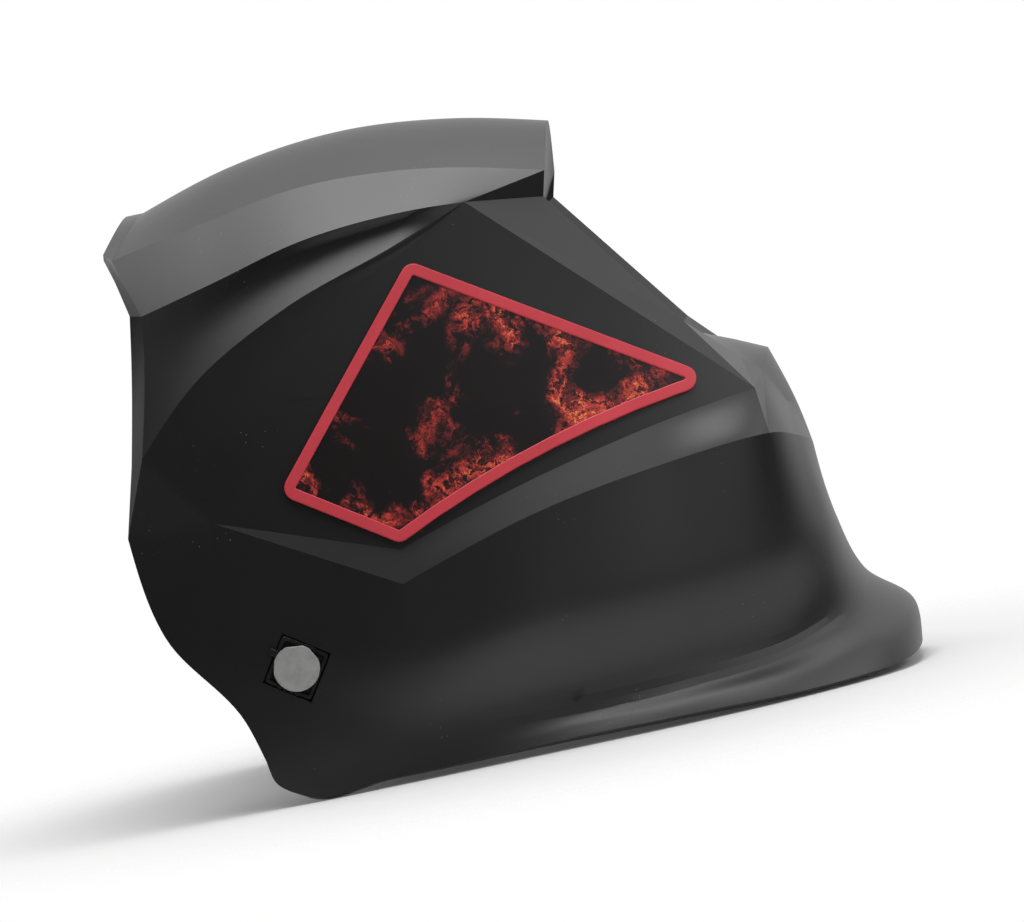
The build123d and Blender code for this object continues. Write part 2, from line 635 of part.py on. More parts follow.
def rear_pad():
    """Soft pad along the inside of the nape."""
    height = REAR_HEIGHT - 2
    outer = upright(rear_outline(-BAND_THICK / 2 - GAP), height)
    pad = outer - upright(rear_outline(-BAND_THICK / 2 - GAP - PAD_THICK, 0), height)
    keep = Pos(0, REAR_REACH - 12) * Box(120, 30, 60)
    return folded(pad & keep)


def strap_outline(margin):
    """The crown strap seen from the front: two upright sides and half an ellipse."""
    half = BAND_HALF_WIDTH - BAND_THICK / 2 - BAND_THICK + margin
    foot, shoulder = -BAND_HEIGHT / 2 + 3, BAND_HEIGHT / 2
    oval = Pos(0, shoulder) * Ellipse(half, STRAP_RISE - shoulder + margin)
    arch = oval & (Pos(0, shoulder + 100) * Rectangle(300, 200))
    return arch + Pos(0, (foot + shoulder) / 2) * Rectangle(2 * half, shoulder - foot)


def strap_block(margin, width):
    band = extrude(strap_outline(margin), width)
    return Pos(0, STRAP_BACK + width / 2) * Rot(X=90) * band


def crown_strap(side):
    """Half of the strap over the head, from one side of the band to just short of the middle."""
    below = Pos(0, 0, -1) * strap_block(0, STRAP_WIDTH)
    half = strap_block(BAND_THICK, STRAP_WIDTH) - strap_block(0, STRAP_WIDTH)
    half -= below & (Pos(0, 0, -50) * Box(300, 300, 100))
    keep = Pos(side * (BAND_HALF_WIDTH / 2 + 1), STRAP_BACK, 40) * Box(BAND_HALF_WIDTH, 40, 200)
    return folded(half & keep)


def strap_buckle():
    """Sleeve over the meeting ends of the crown strap."""
    shape = strap_block(BAND_THICK + 2.2, STRAP_WIDTH + 4) - strap_block(BAND_THICK, STRAP_WIDTH + 5)
    keep = Pos(0, STRAP_BACK, STRAP_RISE) * Box(36, 60, 40)
    return folded(shape & keep)


def arm_place(piece, side):
    return folded(piece if side < 0 else piece.mirror(Plane.YZ))


def side_arm(side):
    """Arm from the pivot back and in to the headband, with a foot shaped to the band."""
    out = -(wall_at_pivot() + ARM_FACE)
    inner = out + ARM_THICK
    web_back, web_thick, height = 23.0, 3.5, 20.0
    disc = Pos((out + inner) / 2) * Rot(Y=90) * Cylinder(KNOB_RADIUS, ARM_THICK)
    tab = Pos((out + inner) / 2, web_back / 2) * Box(ARM_THICK, web_back, height)
    band_side = -BAND_HALF_WIDTH
    web = Pos((out + band_side) / 2, web_back - web_thick / 2) * Box(band_side - out, web_thick, height)
    foot = Pos(band_side - 1, web_back - 9) * Box(6, 18, height)
    body = disc + tab + web + foot - upright(front_outline(BAND_THICK / 2), BAND_HEIGHT)
    bore = Pos((out + inner) / 2) * Rot(Y=90) * Cylinder(BOLT_RADIUS + RUNNING, ARM_THICK + 1)
    return arm_place(body - bore, side)


HOUSING = (62.0, 30.0)                    # width and height
HOUSING_DEPTH = 13.0


def ratchet_housing():
    """Box over the nape end of the rear band, with the bore for the knob."""
    width, height = HOUSING
    back = REAR_REACH + BAND_THICK / 2 + HOUSING_DEPTH
    depth = 30.0
    outline = RectangleRounded(width, height, 9)
    block = Pos(0, back, 0) * Rot(X=90) * extrude(outline, depth)
    block -= upright(rear_outline(BAND_THICK / 2), 2 * height)
    bore = Pos(0, back - 3, 0) * Rot(X=90) * Cylinder(4 + RUNNING, 8)
    return folded(block - bore)


def ratchet_knob():
    """Fluted knob behind the nape, on a stem that turns in the housing."""
    back = REAR_REACH + BAND_THICK / 2 + HOUSING_DEPTH
    depth = 12.0
    body = Pos(0, back + GAP + depth / 2, 0) * Rot(X=90) * Cylinder(RATCHET_RADIUS, depth)
    for angle in range(0, 360, 30):
        turn = math.radians(angle)
        reach = RATCHET_RADIUS + 1.5
        place = Pos(reach * math.cos(turn), back + GAP + depth / 2, reach * math.sin(turn))
        body -= place * Rot(X=90) * Cylinder(3.2, depth)
    stem = Pos(0, back + GAP / 2 - 2.5, 0) * Rot(X=90) * Cylinder(4, 5 + GAP)
    return folded(body + stem)


# ---------------------------------------------------------------- all the pieces
def mirror_pair(name, piece, left_first=False):
    """A piece of one side, and its mirror image, by name."""
    other = piece.mirror(Plane.YZ)
    left, right = (piece, other) if left_first else (other, piece)
    return {name + "_left": left, name + "_right": right}


def all_pieces():
    pieces = {
        "shell": shell(),
        "lens_carrier": lens_carrier(),
        "cover_lens_outer": cover_lens_outer(),
        "cartridge_front": cartridge_front(),
        "cartridge_rear": cartridge_rear(),
        "filter_glass": filter_glass(),
        "solar_cell": solar_cell(),
        "arc_sensor_left": arc_sensor(1),
        "arc_sensor_right": arc_sensor(-1),
        "circuit_board": circuit_board(),
        "coin_cell": coin_cell(),
        "battery_cover": battery_cover(),
        "cover_lens_inner": cover_lens_inner(),
        "test_button": test_button(),
        "mode_switch": mode_switch(),
        "latch_pin": latch_pin(),
        "cartridge_latch": cartridge_latch(),
        "headband_front": headband_front(),
        "side_arm_left": side_arm(1),
        "side_arm_right": side_arm(-1),
        "crown_strap_left": crown_strap(1),
        "crown_strap_right": crown_strap(-1),
        "strap_buckle": strap_buckle(),
        "sweatband": sweatband(),
        "rear_band": rear_band(),
        "rear_pad": rear_pad(),
        "ratchet_housing": ratchet_housing(),
        "ratchet_knob": ratchet_knob(),
    }
    for name in DIALS:
        pieces[name] = dial(name)
    pieces |= mirror_pair("badge_frame", badge_frame(), left_first=True)
    pieces |= mirror_pair("badge_insert", badge_insert(), left_first=True)
    for name, make in (("pivot_plate", pivot_plate), ("pivot_bolt", pivot_bolt),
                       ("pivot_washer", pivot_washer), ("pivot_knob", pivot_knob)):
        pieces |= mirror_pair(name, make())
    return pieces


if __name__ == "__main__":
    os.makedirs("parts", exist_ok=True)
    for name, piece in all_pieces().items():
        export_step(piece, f"parts/{name}.step")
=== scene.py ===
"""Looks of the welding helmet, as an add-on: each operator dresses one group of pieces.

Lengths are in metres in the model's own frame: +Z is up, the face looks along -Y, and the
wearer's right side is at -X. The moulded shell is drawn from the same named points as the
solid model, so that its creases lie where the solid's do.
"""

import math

import bmesh
import bpy
from bpy.props import FloatProperty, FloatVectorProperty, PointerProperty
from mathutils import Matrix, Vector
from mathutils.bvhtree import BVHTree


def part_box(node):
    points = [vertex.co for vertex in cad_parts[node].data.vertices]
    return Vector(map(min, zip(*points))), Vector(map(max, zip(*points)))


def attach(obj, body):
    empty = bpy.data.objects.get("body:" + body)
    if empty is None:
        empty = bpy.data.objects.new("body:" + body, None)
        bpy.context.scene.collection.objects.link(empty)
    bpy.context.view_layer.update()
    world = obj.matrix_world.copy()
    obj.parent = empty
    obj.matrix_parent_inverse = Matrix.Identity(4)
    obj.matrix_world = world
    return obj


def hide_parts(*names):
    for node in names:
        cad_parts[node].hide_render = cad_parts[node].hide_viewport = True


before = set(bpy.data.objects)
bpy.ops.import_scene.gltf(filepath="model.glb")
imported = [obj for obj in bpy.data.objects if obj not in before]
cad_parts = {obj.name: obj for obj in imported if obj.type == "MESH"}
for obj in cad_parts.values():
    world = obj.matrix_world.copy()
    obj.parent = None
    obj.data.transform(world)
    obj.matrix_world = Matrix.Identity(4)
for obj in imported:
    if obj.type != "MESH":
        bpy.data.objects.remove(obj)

bl_info = {
    "name": "Welding helmet dressing",
    "version": (1, 0, 0),
    "blender": (4, 5, 0),
    "location": "3D View > Sidebar > Helmet",
    "description": "Dresses the welding helmet's solids with moulded, printed, metal and padded pieces",
    "category": "Object",
}

MM = 0.001
SIDES = {"right": -1, "left": 1}


# ---------------------------------------------------------------- shader arithmetic
def plug(target, item):
    """Joins a wire to a socket, or sets the socket to a plain value."""
    if isinstance(item, Wire):
        item.tree.links.new(item.socket, target)
    else:
        target.default_value = item


PLAIN_RESULTS = ("LENGTH", "DOT_PRODUCT")


class Wire:
    """A shader socket that can be calculated with; each operation adds a Math node."""

    def __init__(self, tree, socket):
        self.tree = tree
        self.socket = socket

    def add(self, kind, operation, items, output=0):
        node = self.tree.nodes.new(kind)
        node.operation = operation
        for target, item in zip(node.inputs, items):
            plug(target, item)
        return Wire(self.tree, node.outputs[output])

    def math(self, operation, *items):
        return self.add("ShaderNodeMath", operation, items)

    def vector(self, operation, *items):
        """A Vector Math node, for places and directions; some operations give a plain number."""
        output = "Value" if operation in PLAIN_RESULTS else "Vector"
        return self.add("ShaderNodeVectorMath", operation, (self, *items), output)

    def __add__(self, other):
        return self.math("ADD", self, other)

    def __radd__(self, other):
        return self.math("ADD", other, self)

    def __sub__(self, other):
        return self.math("SUBTRACT", self, other)

    def __rsub__(self, other):
        return self.math("SUBTRACT", other, self)

    def __mul__(self, other):
        return self.math("MULTIPLY", self, other)

    def __rmul__(self, other):
        return self.math("MULTIPLY", other, self)

    def __truediv__(self, other):
        return self.math("DIVIDE", self, other)

    def __rtruediv__(self, other):
        return self.math("DIVIDE", other, self)

    def __pow__(self, other):
        return self.math("POWER", self, other)

    def __abs__(self):
        return self.math("ABSOLUTE", self)


MIX_SOCKETS = (0, 6, 7)     # a Mix node's factor and two colours
MIX_RESULT = 2


class Graph:
    """A node tree being filled."""

    def __init__(self, tree):
        self.tree = tree

    def node(self, kind, settings, output=0, numbered=(), **items):
        """Any other node: its kind, its settings first, then its sockets by number or name."""
        node = self.tree.nodes.new("ShaderNode" + kind)
        for key, value in settings.items():
            setattr(node, key, value)
        for number, item in numbered:
            plug(node.inputs[number], item)
        for name, item in items.items():
            plug(node.inputs[name.replace("_", " ")], item)
        return Wire(self.tree, node.outputs[output])

    def ramp(self, amount, low, high, start=0.0, end=1.0):
        """Start below low, end above high, and a smooth slope between them."""
        return self.node("MapRange", {"interpolation_type": "SMOOTHSTEP"}, 0, Value=amount,
                         From_Min=low, From_Max=high, To_Min=start, To_Max=end)


class Finish(Graph):
    """A material being made: its surface shader and the object's own coordinates."""

    def __init__(self, name, **constants):
        self.material = bpy.data.materials.new(name)
        self.material.use_nodes = True
        super().__init__(self.material.node_tree)
        self.shader = self.tree.nodes["Principled BSDF"]
        for socket, value in constants.items():
            self.shader.inputs[socket.replace("_", " ")].default_value = value
        self.place = self.node("TexCoord", {}, "Object")

    def drive(self, **items):
        """Joins varying values to the surface shader."""
        for name, item in items.items():
            plug(self.shader.inputs[name.replace("_", " ")], item)
        return self

    def noise(self, scale, detail=3.0, roughness=0.55, distortion=0.0, place=None, output=0):
        return self.node("TexNoise", {}, output, Vector=place or self.place, Scale=scale,
                         Detail=detail, Roughness=roughness, Distortion=distortion)

    def cells(self, scale, feature="F1", output="Distance", place=None, **items):
        return self.node("TexVoronoi", {"feature": feature}, output, Vector=place or self.place,
                         Scale=scale, **items)

    def mix(self, amount, first, second):
        """From one colour to another by an amount."""
        first, second = (item if isinstance(item, Wire) else (*item[:3], 1.0)
                         for item in (first, second))
        return self.node("Mix", {"data_type": "RGBA"}, MIX_RESULT,
                         zip(MIX_SOCKETS, (amount, first, second)))

    def bump(self, height, depth, strength=1.0, below=None):
        """Relief of the given depth in metres, over another relief if there is one."""
        items = {"Normal": below} if below else {}
        return self.node("Bump", {}, 0, Height=height, Distance=depth, Strength=strength, **items)


# ---------------------------------------------------------------- shell: named points
# Half of the shell, as (half width, depth, height) in millimetres.
POINTS = {
    # crown ridge on the middle plane, from the rear lip to the brow
    "mS": (0, 133, 237), "m0": (0, 126, 237), "m1": (0, 88, 248), "m2": (0, 40, 253),
    "m3": (0, -2, 249), "m4": (0, -41, 240),
    # edge of the crown's flat top
    "aS": (50, 140, 223), "a0": (53, 137, 220), "a1": (56, 98, 227), "a2": (58, 58, 233),
    "a3": (58, 14, 231), "a4": (55, -37.5, 220),
    # lower edge of the crown's side band, which ends at the temple point
    "bS": (74, 132, 197), "b0": (77, 127, 196), "b1": (80, 97, 203), "b2": (81, 60, 212),
    "b3": (76, 15, 215), "T": (70, -5, 214),
    # hollow between the crown band and the cheek arch
    "dS": (80, 135, 176), "d0": (83.6, 129, 178.3), "d1": (82.6, 104, 190), "d2": (79.7, 66, 204.5),
    "d3": (75.5, 20, 211),
    # crease of the cheek arch
    "arcS": (94, 141, 140), "arc0": (97, 136, 142), "arc1": (93, 111, 166),
    "arc2": (88, 70, 188), "arc3": (80.5, 26, 202.5),
    # upper edge of the side plate's recess
    "tlA": (86, 46, 184), "tlB": (97, 85, 150), "L": (104, 113, 112),
    # lower edge of the recess, and the edge of the bevel under it
    "Fi": (106, 45, 88), "f2": (97, -11, 104), "f4": (84, -58, 114),
    "Bt": (111.5, 46, 75), "k2": (103.5, -13, 92), "k3": (93, -59, 99),
    # crest of the window surround, and the corners of its sunk floor
    "rt": (54, -35, 210), "rM": (58, -79, 151), "R": (65, -101, 120),
    "wT": (0, -31.2, 207.6), "st": (49.5, -31.2, 207.6),
    "wB": (0, -75.4, 147.4), "sM": (49.5, -75.4, 147.4),
    # nose
    "n0": (0, -96, 139), "c0": (36, -98, 132), "n1": (0, -109, 133), "n2": (0, -116, 109),
    "n3": (0, -119, 92), "c1": (36, -105, 126), "q": (22, -112, 111), "c2": (75, -103, 102),
    "c3": (47, -113.5, 98),
    # rear edge of the cheek, down to the ear tip
    "e1": (104, 147, 113), "e3": (110, 140, 73), "e5": (113, 116, 35), "tipA": (115, 109, 10),
    "fe": (114.3, 111.5, 20), "tipB": (116, 100, 3.5), "fq": (115, 98, 13), "p": (111, 113, 69),
    "q5": (114, 96, 27),
    # middle of the jaw wall
    "hB": (114, 52, 49), "hk2": (108, -10, 57), "hk3": (97, -57, 58), "hC2": (76, -101, 60),
    "hc3": (47, -117, 62), "hn3": (0, -122, 62),
    # groove above the rim's flare, and the top of the flare
    "gB": (113.5, 59, 18), "gk2": (105.6, -4, 12.5), "gk3": (95.6, -54, 13), "gC2": (76, -95, 16),
    "gc3": (49, -121, 25), "gn3": (0, -129, 38.5),
    "fB": (114.7, 61, 9.5), "fk2": (109, -2, 8), "fk3": (101, -54, 8), "fC2": (84, -98, 9),
    "fc3": (56, -131.5, 13), "fn3": (0, -146.4, 21),
    # rim
    "r2": (116, 64, 3), "r4": (111.5, -1, 4), "r6": (104.8, -52, 3.5), "r8": (89, -99, 2.3),
    "r9": (60.5, -134.5, 3.1), "chin": (0, -146.1, 7),
}
# Lines that run smoothly through their points. A name with ~ is the mirrored point.
SMOOTH = [
    "mS m0", "m0 m1 m2 m3 m4", "a0 a1 a2 a3 a4", "b0 b1 b2 b3 T", "d0 d1 d2 d3",
    "arc0 arc1 arc2 arc3 T", "L tlB tlA T", "Fi f2 f4 R",
    "Bt k2 k3 c2 c3 n3 ~c3 ~c2 ~k3 ~k2 ~Bt",
    "~aS mS aS", "~a0 m0 a0", "~a1 m1 a1", "~a2 m2 a2", "~a3 m3 a3", "~a4 m4 a4",
    "b0 d0 arc0", "b1 d1 arc1", "b2 d2 arc2", "b3 d3 arc3", "bS dS arcS",
    "~c0 n0 c0", "~c1 n1 c1", "n1 n2 n3", "~q n2 q",
    "n3 hn3 gn3 fn3 chin", "c3 hc3 gc3 fc3 r9", "c2 hC2 gC2 fC2 r8", "k3 hk3 gk3 fk3 r6",
    "k2 hk2 gk2 fk2 r4", "Bt hB gB fB r2", "L p q5 fq tipB",
    "fe fq fB fk2 fk3 fC2 fc3 fn3 ~fc3 ~fC2 ~fk3 ~fk2 ~fB ~fq ~fe",
    "e3 p hB hk2 hk3 hC2 hc3 hn3 ~hc3 ~hC2 ~hk3 ~hk2 ~hB ~p ~e3",
    "e5 q5 gB gk2 gk3 gC2 gc3 gn3 ~gc3 ~gC2 ~gk3 ~gk2 ~gB ~q5 ~e5",
    "e1 e3 e5 fe tipA tipB r2 r4 r6 r8 r9 chin ~r9 ~r8 ~r6 ~r4 ~r2 ~tipB ~tipA ~fe ~e5 ~e3 ~e1",
]
# Faces by their corners, in order round each one.
CROWN_TOP = ["mS m0 a0 aS", "m0 m1 a1 a0", "m1 m2 a2 a1", "m2 m3 a3 a2", "m3 m4 a4 a3"]
CROWN_BAND = ["aS a0 b0 bS", "a0 a1 b1 b0", "a1 a2 b2 b1", "a2 a3 b3 b2", "a3 a4 T b3"]
HOLLOW = ["bS b0 d0 dS", "b0 b1 d1 d0", "b1 b2 d2 d1", "b2 b3 d3 d2", "b3 T arc3 d3",
          "dS d0 arc0 arcS", "d0 d1 arc1 arc0", "d1 d2 arc2 arc1", "d2 d3 arc3 arc2"]
ARCH = ["arcS arc0 e1", "arc0 L e1", "arc0 arc1 tlB L", "arc1 arc2 tlA tlB", "arc2 arc3 T tlA"]
RECESS = ["T R f4 tlA", "tlA f4 f2 tlB", "tlB f2 Fi L"]
BEVEL = ["L Fi Bt", "Fi f2 k2 Bt", "f2 f4 k3 k2", "f4 R c2 k3"]
FRONT = ["T rt rM", "T rM R", "a4 rt T", "m4 wT st a4", "a4 st rt", "rt st sM rM", "wT wB sM st",
         "wB n0 c0 sM", "sM c0 rM", "rM c0 R"]
NOSE = ["n0 n1 c1 c0", "c0 c1 R", "R c1 c2", "n1 n2 q c1", "n2 n3 c3 q", "c1 q c3 c2"]
JAW = ["L p e3 e1", "p q5 e5 e3", "q5 fq fe e5", "fq tipB tipA fe",
       "L Bt hB p", "p hB gB q5", "q5 gB fB fq", "fq fB r2 tipB",
       "Bt k2 hk2 hB", "hB hk2 gk2 gB", "gB gk2 fk2 fB", "fB fk2 r4 r2",
       "k2 k3 hk3 hk2", "hk2 hk3 gk3 gk2", "gk2 gk3 fk3 fk2", "fk2 fk3 r6 r4",
       "k3 c2 hC2 hk3", "hk3 hC2 gC2 gk3", "gk3 gC2 fC2 fk3", "fk3 fC2 r8 r6",
       "c2 c3 hc3 hC2", "hC2 hc3 gc3 gC2", "gC2 gc3 fc3 fC2", "fC2 fc3 r9 r8",
       "c3 n3 hn3 hc3", "hc3 hn3 gn3 gc3", "gc3 gn3 fn3 fc3", "fc3 fn3 chin r9"]
SHELL_FACES = CROWN_TOP + CROWN_BAND + HOLLOW + ARCH + RECESS + BEVEL + FRONT + NOSE + JAW
SHELL_WALL = 0.0028
CORE_DEPTH = 0.030      # an upright line inside the shell tells its inside from its outside
CORE_LOW, CORE_HIGH = 0.008, 0.110
PATCH_CELLS = 12        # each face is drawn with this many cells a side
WELD = 0.02 * MM
CREASE_FROM = 9.0       # degrees between faces where a crease begins to be rounded
CREASE_RAMP = 8.0       # degrees more until it is rounded in full
WIDEST_MITRE = 0.7      # the most that a corner's move is lengthened by, as one over it


def mirrored_name(name):
    """The same point on the other half; points on the middle plane are their own mirror."""
    plain = name.lstrip("~")
    if POINTS[plain][0] == 0:
        return plain
    return plain if name.startswith("~") else "~" + plain


def both_halves(lines):
    """Each line of names, and its mirror image where that is another line."""
    result = []
    for line in lines:
        names = line.split()
        other = [mirrored_name(name) for name in names]
        result.append(names)
        if set(other) != set(names):
            result.append(other[::-1])
    return result


def nearest_core(place):
    """The place on the shell's core line that is level with a place, as far as the line reaches."""
    return Vector((0, CORE_DEPTH, min(max(place.z, CORE_LOW), CORE_HIGH)))


def smooth_line(points):
    """Cubic pieces through the points: a list of four control points for each piece."""
    last = len(points) - 1
    steps = [points[i + 1] - points[i] for i in range(last)]
    slopes = [None] * len(points)
    for i in range(1, last):
        before, after = steps[i - 1], steps[i]
        total = before.length + after.length
        slopes[i] = (before * (after.length / before.length)
                     + after * (before.length / after.length)) / total
    pieces = []
    for i, step in enumerate(steps):
        start = slopes[i] * step.length if slopes[i] else None
        end = slopes[i + 1] * step.length if slopes[i + 1] else None
        if start is None:
            start = (step * 3 - end) / 2 if end else step
        if end is None:
            end = (step * 3 - start) / 2
        pieces.append([points[i], points[i] + start / 3, points[i + 1] - end / 3, points[i + 1]])
    return pieces


def cubic(t):
    """The weights of four control points at a place along a cubic."""
    s = 1 - t
    return s * s * s, 3 * s * s * t, 3 * s * t * t, t * t * t


class Network:
    """Curved faces that share their edges, spanned over the shell's named points."""

    def __init__(self, points):
        self.points = points
        self.edges = {}
        for names in both_halves(SMOOTH):
            pieces = smooth_line([points[name] for name in names])
            for a, b, piece in zip(names, names[1:], pieces):
                self.edges[a, b] = piece
                self.edges[b, a] = piece[::-1]

    def edge(self, a, b):
        """Control points from a to b: a stretch of a smooth line, or else a straight one."""
        start, end = self.points[a], self.points[b]
        return self.edges.get((a, b)) or [start.lerp(end, i / 3) for i in range(4)]

    def grid(self, a, b, c, d):
        """The 4 by 4 control points of the face with these corners."""
        rows = [[None] * 4 for _ in range(4)]
        rows[0], rows[3] = list(self.edge(a, b)), list(self.edge(d, c))
        left, right = self.edge(a, d), self.edge(b, c)
        for i in (1, 2):
            rows[i][0], rows[i][3] = left[i], right[i]
        for i, corner_row in ((1, 0), (2, 3)):
            for j, corner_column in ((1, 0), (2, 3)):
                corner = rows[corner_row][corner_column]
                rows[i][j] = rows[corner_row][j] + rows[i][corner_column] - corner
        return rows

    def corner_normals(self, names):
        """The outward normal at each corner of a face."""
        count = len(names)
        for i, name in enumerate(names):
            here = self.points[name]
            if count == 3:
                ahead, behind = self.points[names[i - 2]] - here, self.points[names[i - 1]] - here
            else:
                ahead = self.edge(name, names[(i + 1) % count])[1] - here
                behind = self.edge(name, names[i - 1])[1] - here
            normal = ahead.cross(behind).normalized()
            yield name, normal if normal.dot(here - nearest_core(here)) > 0 else -normal

    def moved(self, faces, distance):
        """The points moved square to these faces, outwards if distance is positive."""
        normals = {}
        for names in faces:
            for name, normal in self.corner_normals(names):
                normals.setdefault(name, []).append(normal)
        moved = dict(self.points)
        for name, group in normals.items():
            mean = sum(group, Vector()).normalized()
            spread = sum(mean.dot(normal) for normal in group) / len(group)
            moved[name] = self.points[name] + mean * (distance / max(spread, WIDEST_MITRE))
        return moved

    def lattice(self, names, count):
        """Rows of places on a face, and the corners of its cells as pairs of row and column."""
        if len(names) == 3:
            a, b, c = (self.points[name] for name in names)
            rows = [[a + (b - a) * ((i - j) / count) + (c - a) * (j / count) for j in range(i + 1)]
                    for i in range(count + 1)]
            cells = [[(i, j), (i + 1, j), (i + 1, j + 1)] for i in range(count) for j in range(i + 1)]
            cells += [[(i, j), (i + 1, j + 1), (i, j + 1)] for i in range(count) for j in range(i)]
            return rows, cells
        controls = self.grid(*names)
        steps = [cubic(i / count) for i in range(count + 1)]
        rows = []
        for down in steps:
            bent = [sum((controls[i][j] * down[i] for i in range(4)), Vector()) for j in range(4)]
            rows.append([sum((bent[j] * across[j] for j in range(4)), Vector()) for across in steps])
        cells = [[(i, j), (i, j + 1), (i + 1, j + 1), (i + 1, j)]
                 for i in range(count) for j in range(count)]
        return rows, cells


def shell_points():
    """Every named point of both halves, in metres."""
    points = {}
    for name, (x, y, z) in POINTS.items():
        points[name] = Vector((x, y, z)) * MM
        if x:
            points["~" + name] = Vector((-x, y, z)) * MM
    return points


def add_skin(mesh, network, faces):
    """Adds the network's faces to a mesh as one skin, welded along the edges they share."""
    made = []
    for names in faces:
        rows, cells = network.lattice(names, PATCH_CELLS)
        corners = [[mesh.verts.new(place) for place in row] for row in rows]
        made += [mesh.faces.new([corners[i][j] for i, j in cell]) for cell in cells]
    verts = list({vert for face in made for vert in face.verts})
    bmesh.ops.remove_doubles(mesh, verts=verts, dist=WELD)


def shell_wall():
    """The shell's wall as one closed mesh, with a bevel weight on each crease."""
    outer = Network(shell_points())
    faces = both_halves(SHELL_FACES)
    inner = Network(outer.moved(faces, -SHELL_WALL))
    mesh = bmesh.new()
    add_skin(mesh, outer, faces)
    add_skin(mesh, inner, faces)
    weight = mesh.edges.layers.float.new("bevel_weight_edge")
    bmesh.ops.bridge_loops(mesh, edges=[edge for edge in mesh.edges if edge.is_boundary])
    bmesh.ops.recalc_face_normals(mesh, faces=mesh.faces)
    if mesh.calc_volume(signed=True) < 0:
        bmesh.ops.reverse_faces(mesh, faces=mesh.faces)
    for edge in mesh.edges:
        turn = math.degrees(edge.calc_face_angle(0.0))
        edge[weight] = min(1.0, max(0.0, (turn - CREASE_FROM) / CREASE_RAMP))
    return mesh


# ---------------------------------------------------------------- making pieces
def to_object(name, mesh, finish, smooth=True):
    """A bmesh as an object with one material."""
    data = bpy.data.meshes.new(name)
    mesh.to_mesh(data)
    mesh.free()
    data.materials.append(finish.material)
    data.shade_smooth() if smooth else data.shade_flat()
    piece = bpy.data.objects.new(name, data)
    bpy.context.scene.collection.objects.link(piece)
    return piece


def modifier(piece, kind, **settings):
    added = piece.modifiers.new(kind.title(), kind)
    for key, value in settings.items():
        setattr(added, key, value)
    return added


def soft_edges(piece, width, angle=40.0):
    """Rounds a piece's sharp edges and keeps its flat faces flat."""
    modifier(piece, "BEVEL", width=width, segments=2, limit_method="ANGLE",
             angle_limit=math.radians(angle), harden_normals=True)


def bake(piece):
    """Applies every modifier of a piece to its mesh."""
    graph = bpy.context.evaluated_depsgraph_get()
    data = bpy.data.meshes.new_from_object(piece.evaluated_get(graph))
    piece.modifiers.clear()
    piece.data = data


def seat(piece, body, slot, *nodes):
    """A piece rides on a body and stands for some nodes, whose solids are hidden; the slot is not used.
    """
    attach(piece, body)
    if nodes:
        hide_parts(*nodes)


def dress(node, finish, bevel=0.0):
    """Gives a node of the frame its material and, if asked, rounded edges."""
    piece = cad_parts[node]
    piece.data.materials.clear()
    piece.data.materials.append(finish.material)
    if bevel:
        soft_edges(piece, bevel)


# ---------------------------------------------------------------- finishes
def lighter(colour, amount):
    """A colour made lighter, or darker below 1, as a plain tuple."""
    return tuple(min(1.0, part * amount) for part in colour[:3])


HAIR_SCALE = (60.0, 9.0, 240.0)     # how the hairline marks' noise is stretched, and turned
HAIR_TURN = (0.5, 0.2, 0.0)
DUST_GREY = (0.30, 0.30, 0.31)


def moulded(name, colour, rough, grain=0.00025, relief=0.00002, mottle=0.05, dust=0.0, shine=0.5):
    """Moulded plastic: a fine spark-eroded grain, slight cloudiness, hairline marks and dust."""
    look = Finish(name, Specular_IOR_Level=shine)
    cloud = look.noise(18.0, 4.0)
    speck = look.noise(1 / grain, 2.0, 0.6)
    base = look.mix(look.ramp(speck, 0.35, 0.65), lighter(colour, 0.86), lighter(colour, 1.14))
    base = look.mix(cloud * mottle, base, lighter(colour, 2.2))
    stretched = look.node("Mapping", {}, Vector=look.place, Scale=HAIR_SCALE, Rotation=HAIR_TURN)
    hair = look.ramp(look.noise(6.0, 1.0, 0.4, 0.6, stretched), 0.69, 0.72)
    hair = hair * look.ramp(cloud, 0.48, 0.62)
    gloss = rough + (speck - 0.5) * 0.10 + (cloud - 0.5) * mottle * 2 - hair * 0.05
    if dust:
        motes = look.cells(420.0, Randomness=1.0)
        motes = look.ramp(motes, 0.05, 0.11, 1.0, 0.0)
        motes = motes * look.ramp(look.noise(40.0, 2.0), 0.60, 0.66)
        base = look.mix(motes * dust, base, DUST_GREY)
        gloss = gloss + motes * 0.2
    relief = look.bump(speck, relief, 0.5)
    relief = look.bump(hair, 0.00001, 0.4, relief)
    return look.drive(Base_Color=base, Roughness=gloss, Normal=relief)


def glossy_border(name, colour):
    """Painted plastic: an even gloss with a faint orange peel and slightly rubbed patches."""
    look = Finish(name, Specular_IOR_Level=0.45, Coat_Roughness=0.25)
    peel = look.noise(900.0, 2.0)
    rub = look.noise(35.0, 4.0, 0.6)
    base = look.mix(look.ramp(rub, 0.35, 0.7), lighter(colour, 0.94), lighter(colour, 1.05))
    base = look.mix(look.ramp(peel, 0.3, 0.7) * 0.08, base, lighter(colour, 0.8))
    return look.drive(Base_Color=base, Roughness=0.40 + (rub - 0.5) * 0.15 + (peel - 0.5) * 0.05,
                      Coat_Weight=look.ramp(rub, 0.3, 0.7, 0.12, 0.25),
                      Normal=look.bump(peel, 0.00004, 0.3))


PRINT_MIDDLE = (0.0, 0.020, 0.138)
PRINT_SPREAD = (0.0, 16.0, 24.0)     # one over the half length and half height of its dark middle
PRINT_DARK, PRINT_DEEP = (0.010, 0.006, 0.007), (0.22, 0.014, 0.013)
PRINT_RED, PRINT_ORANGE = (0.70, 0.06, 0.035), (0.98, 0.45, 0.12)
PRINT_WARP = (0.03, 0.03, 0.03)


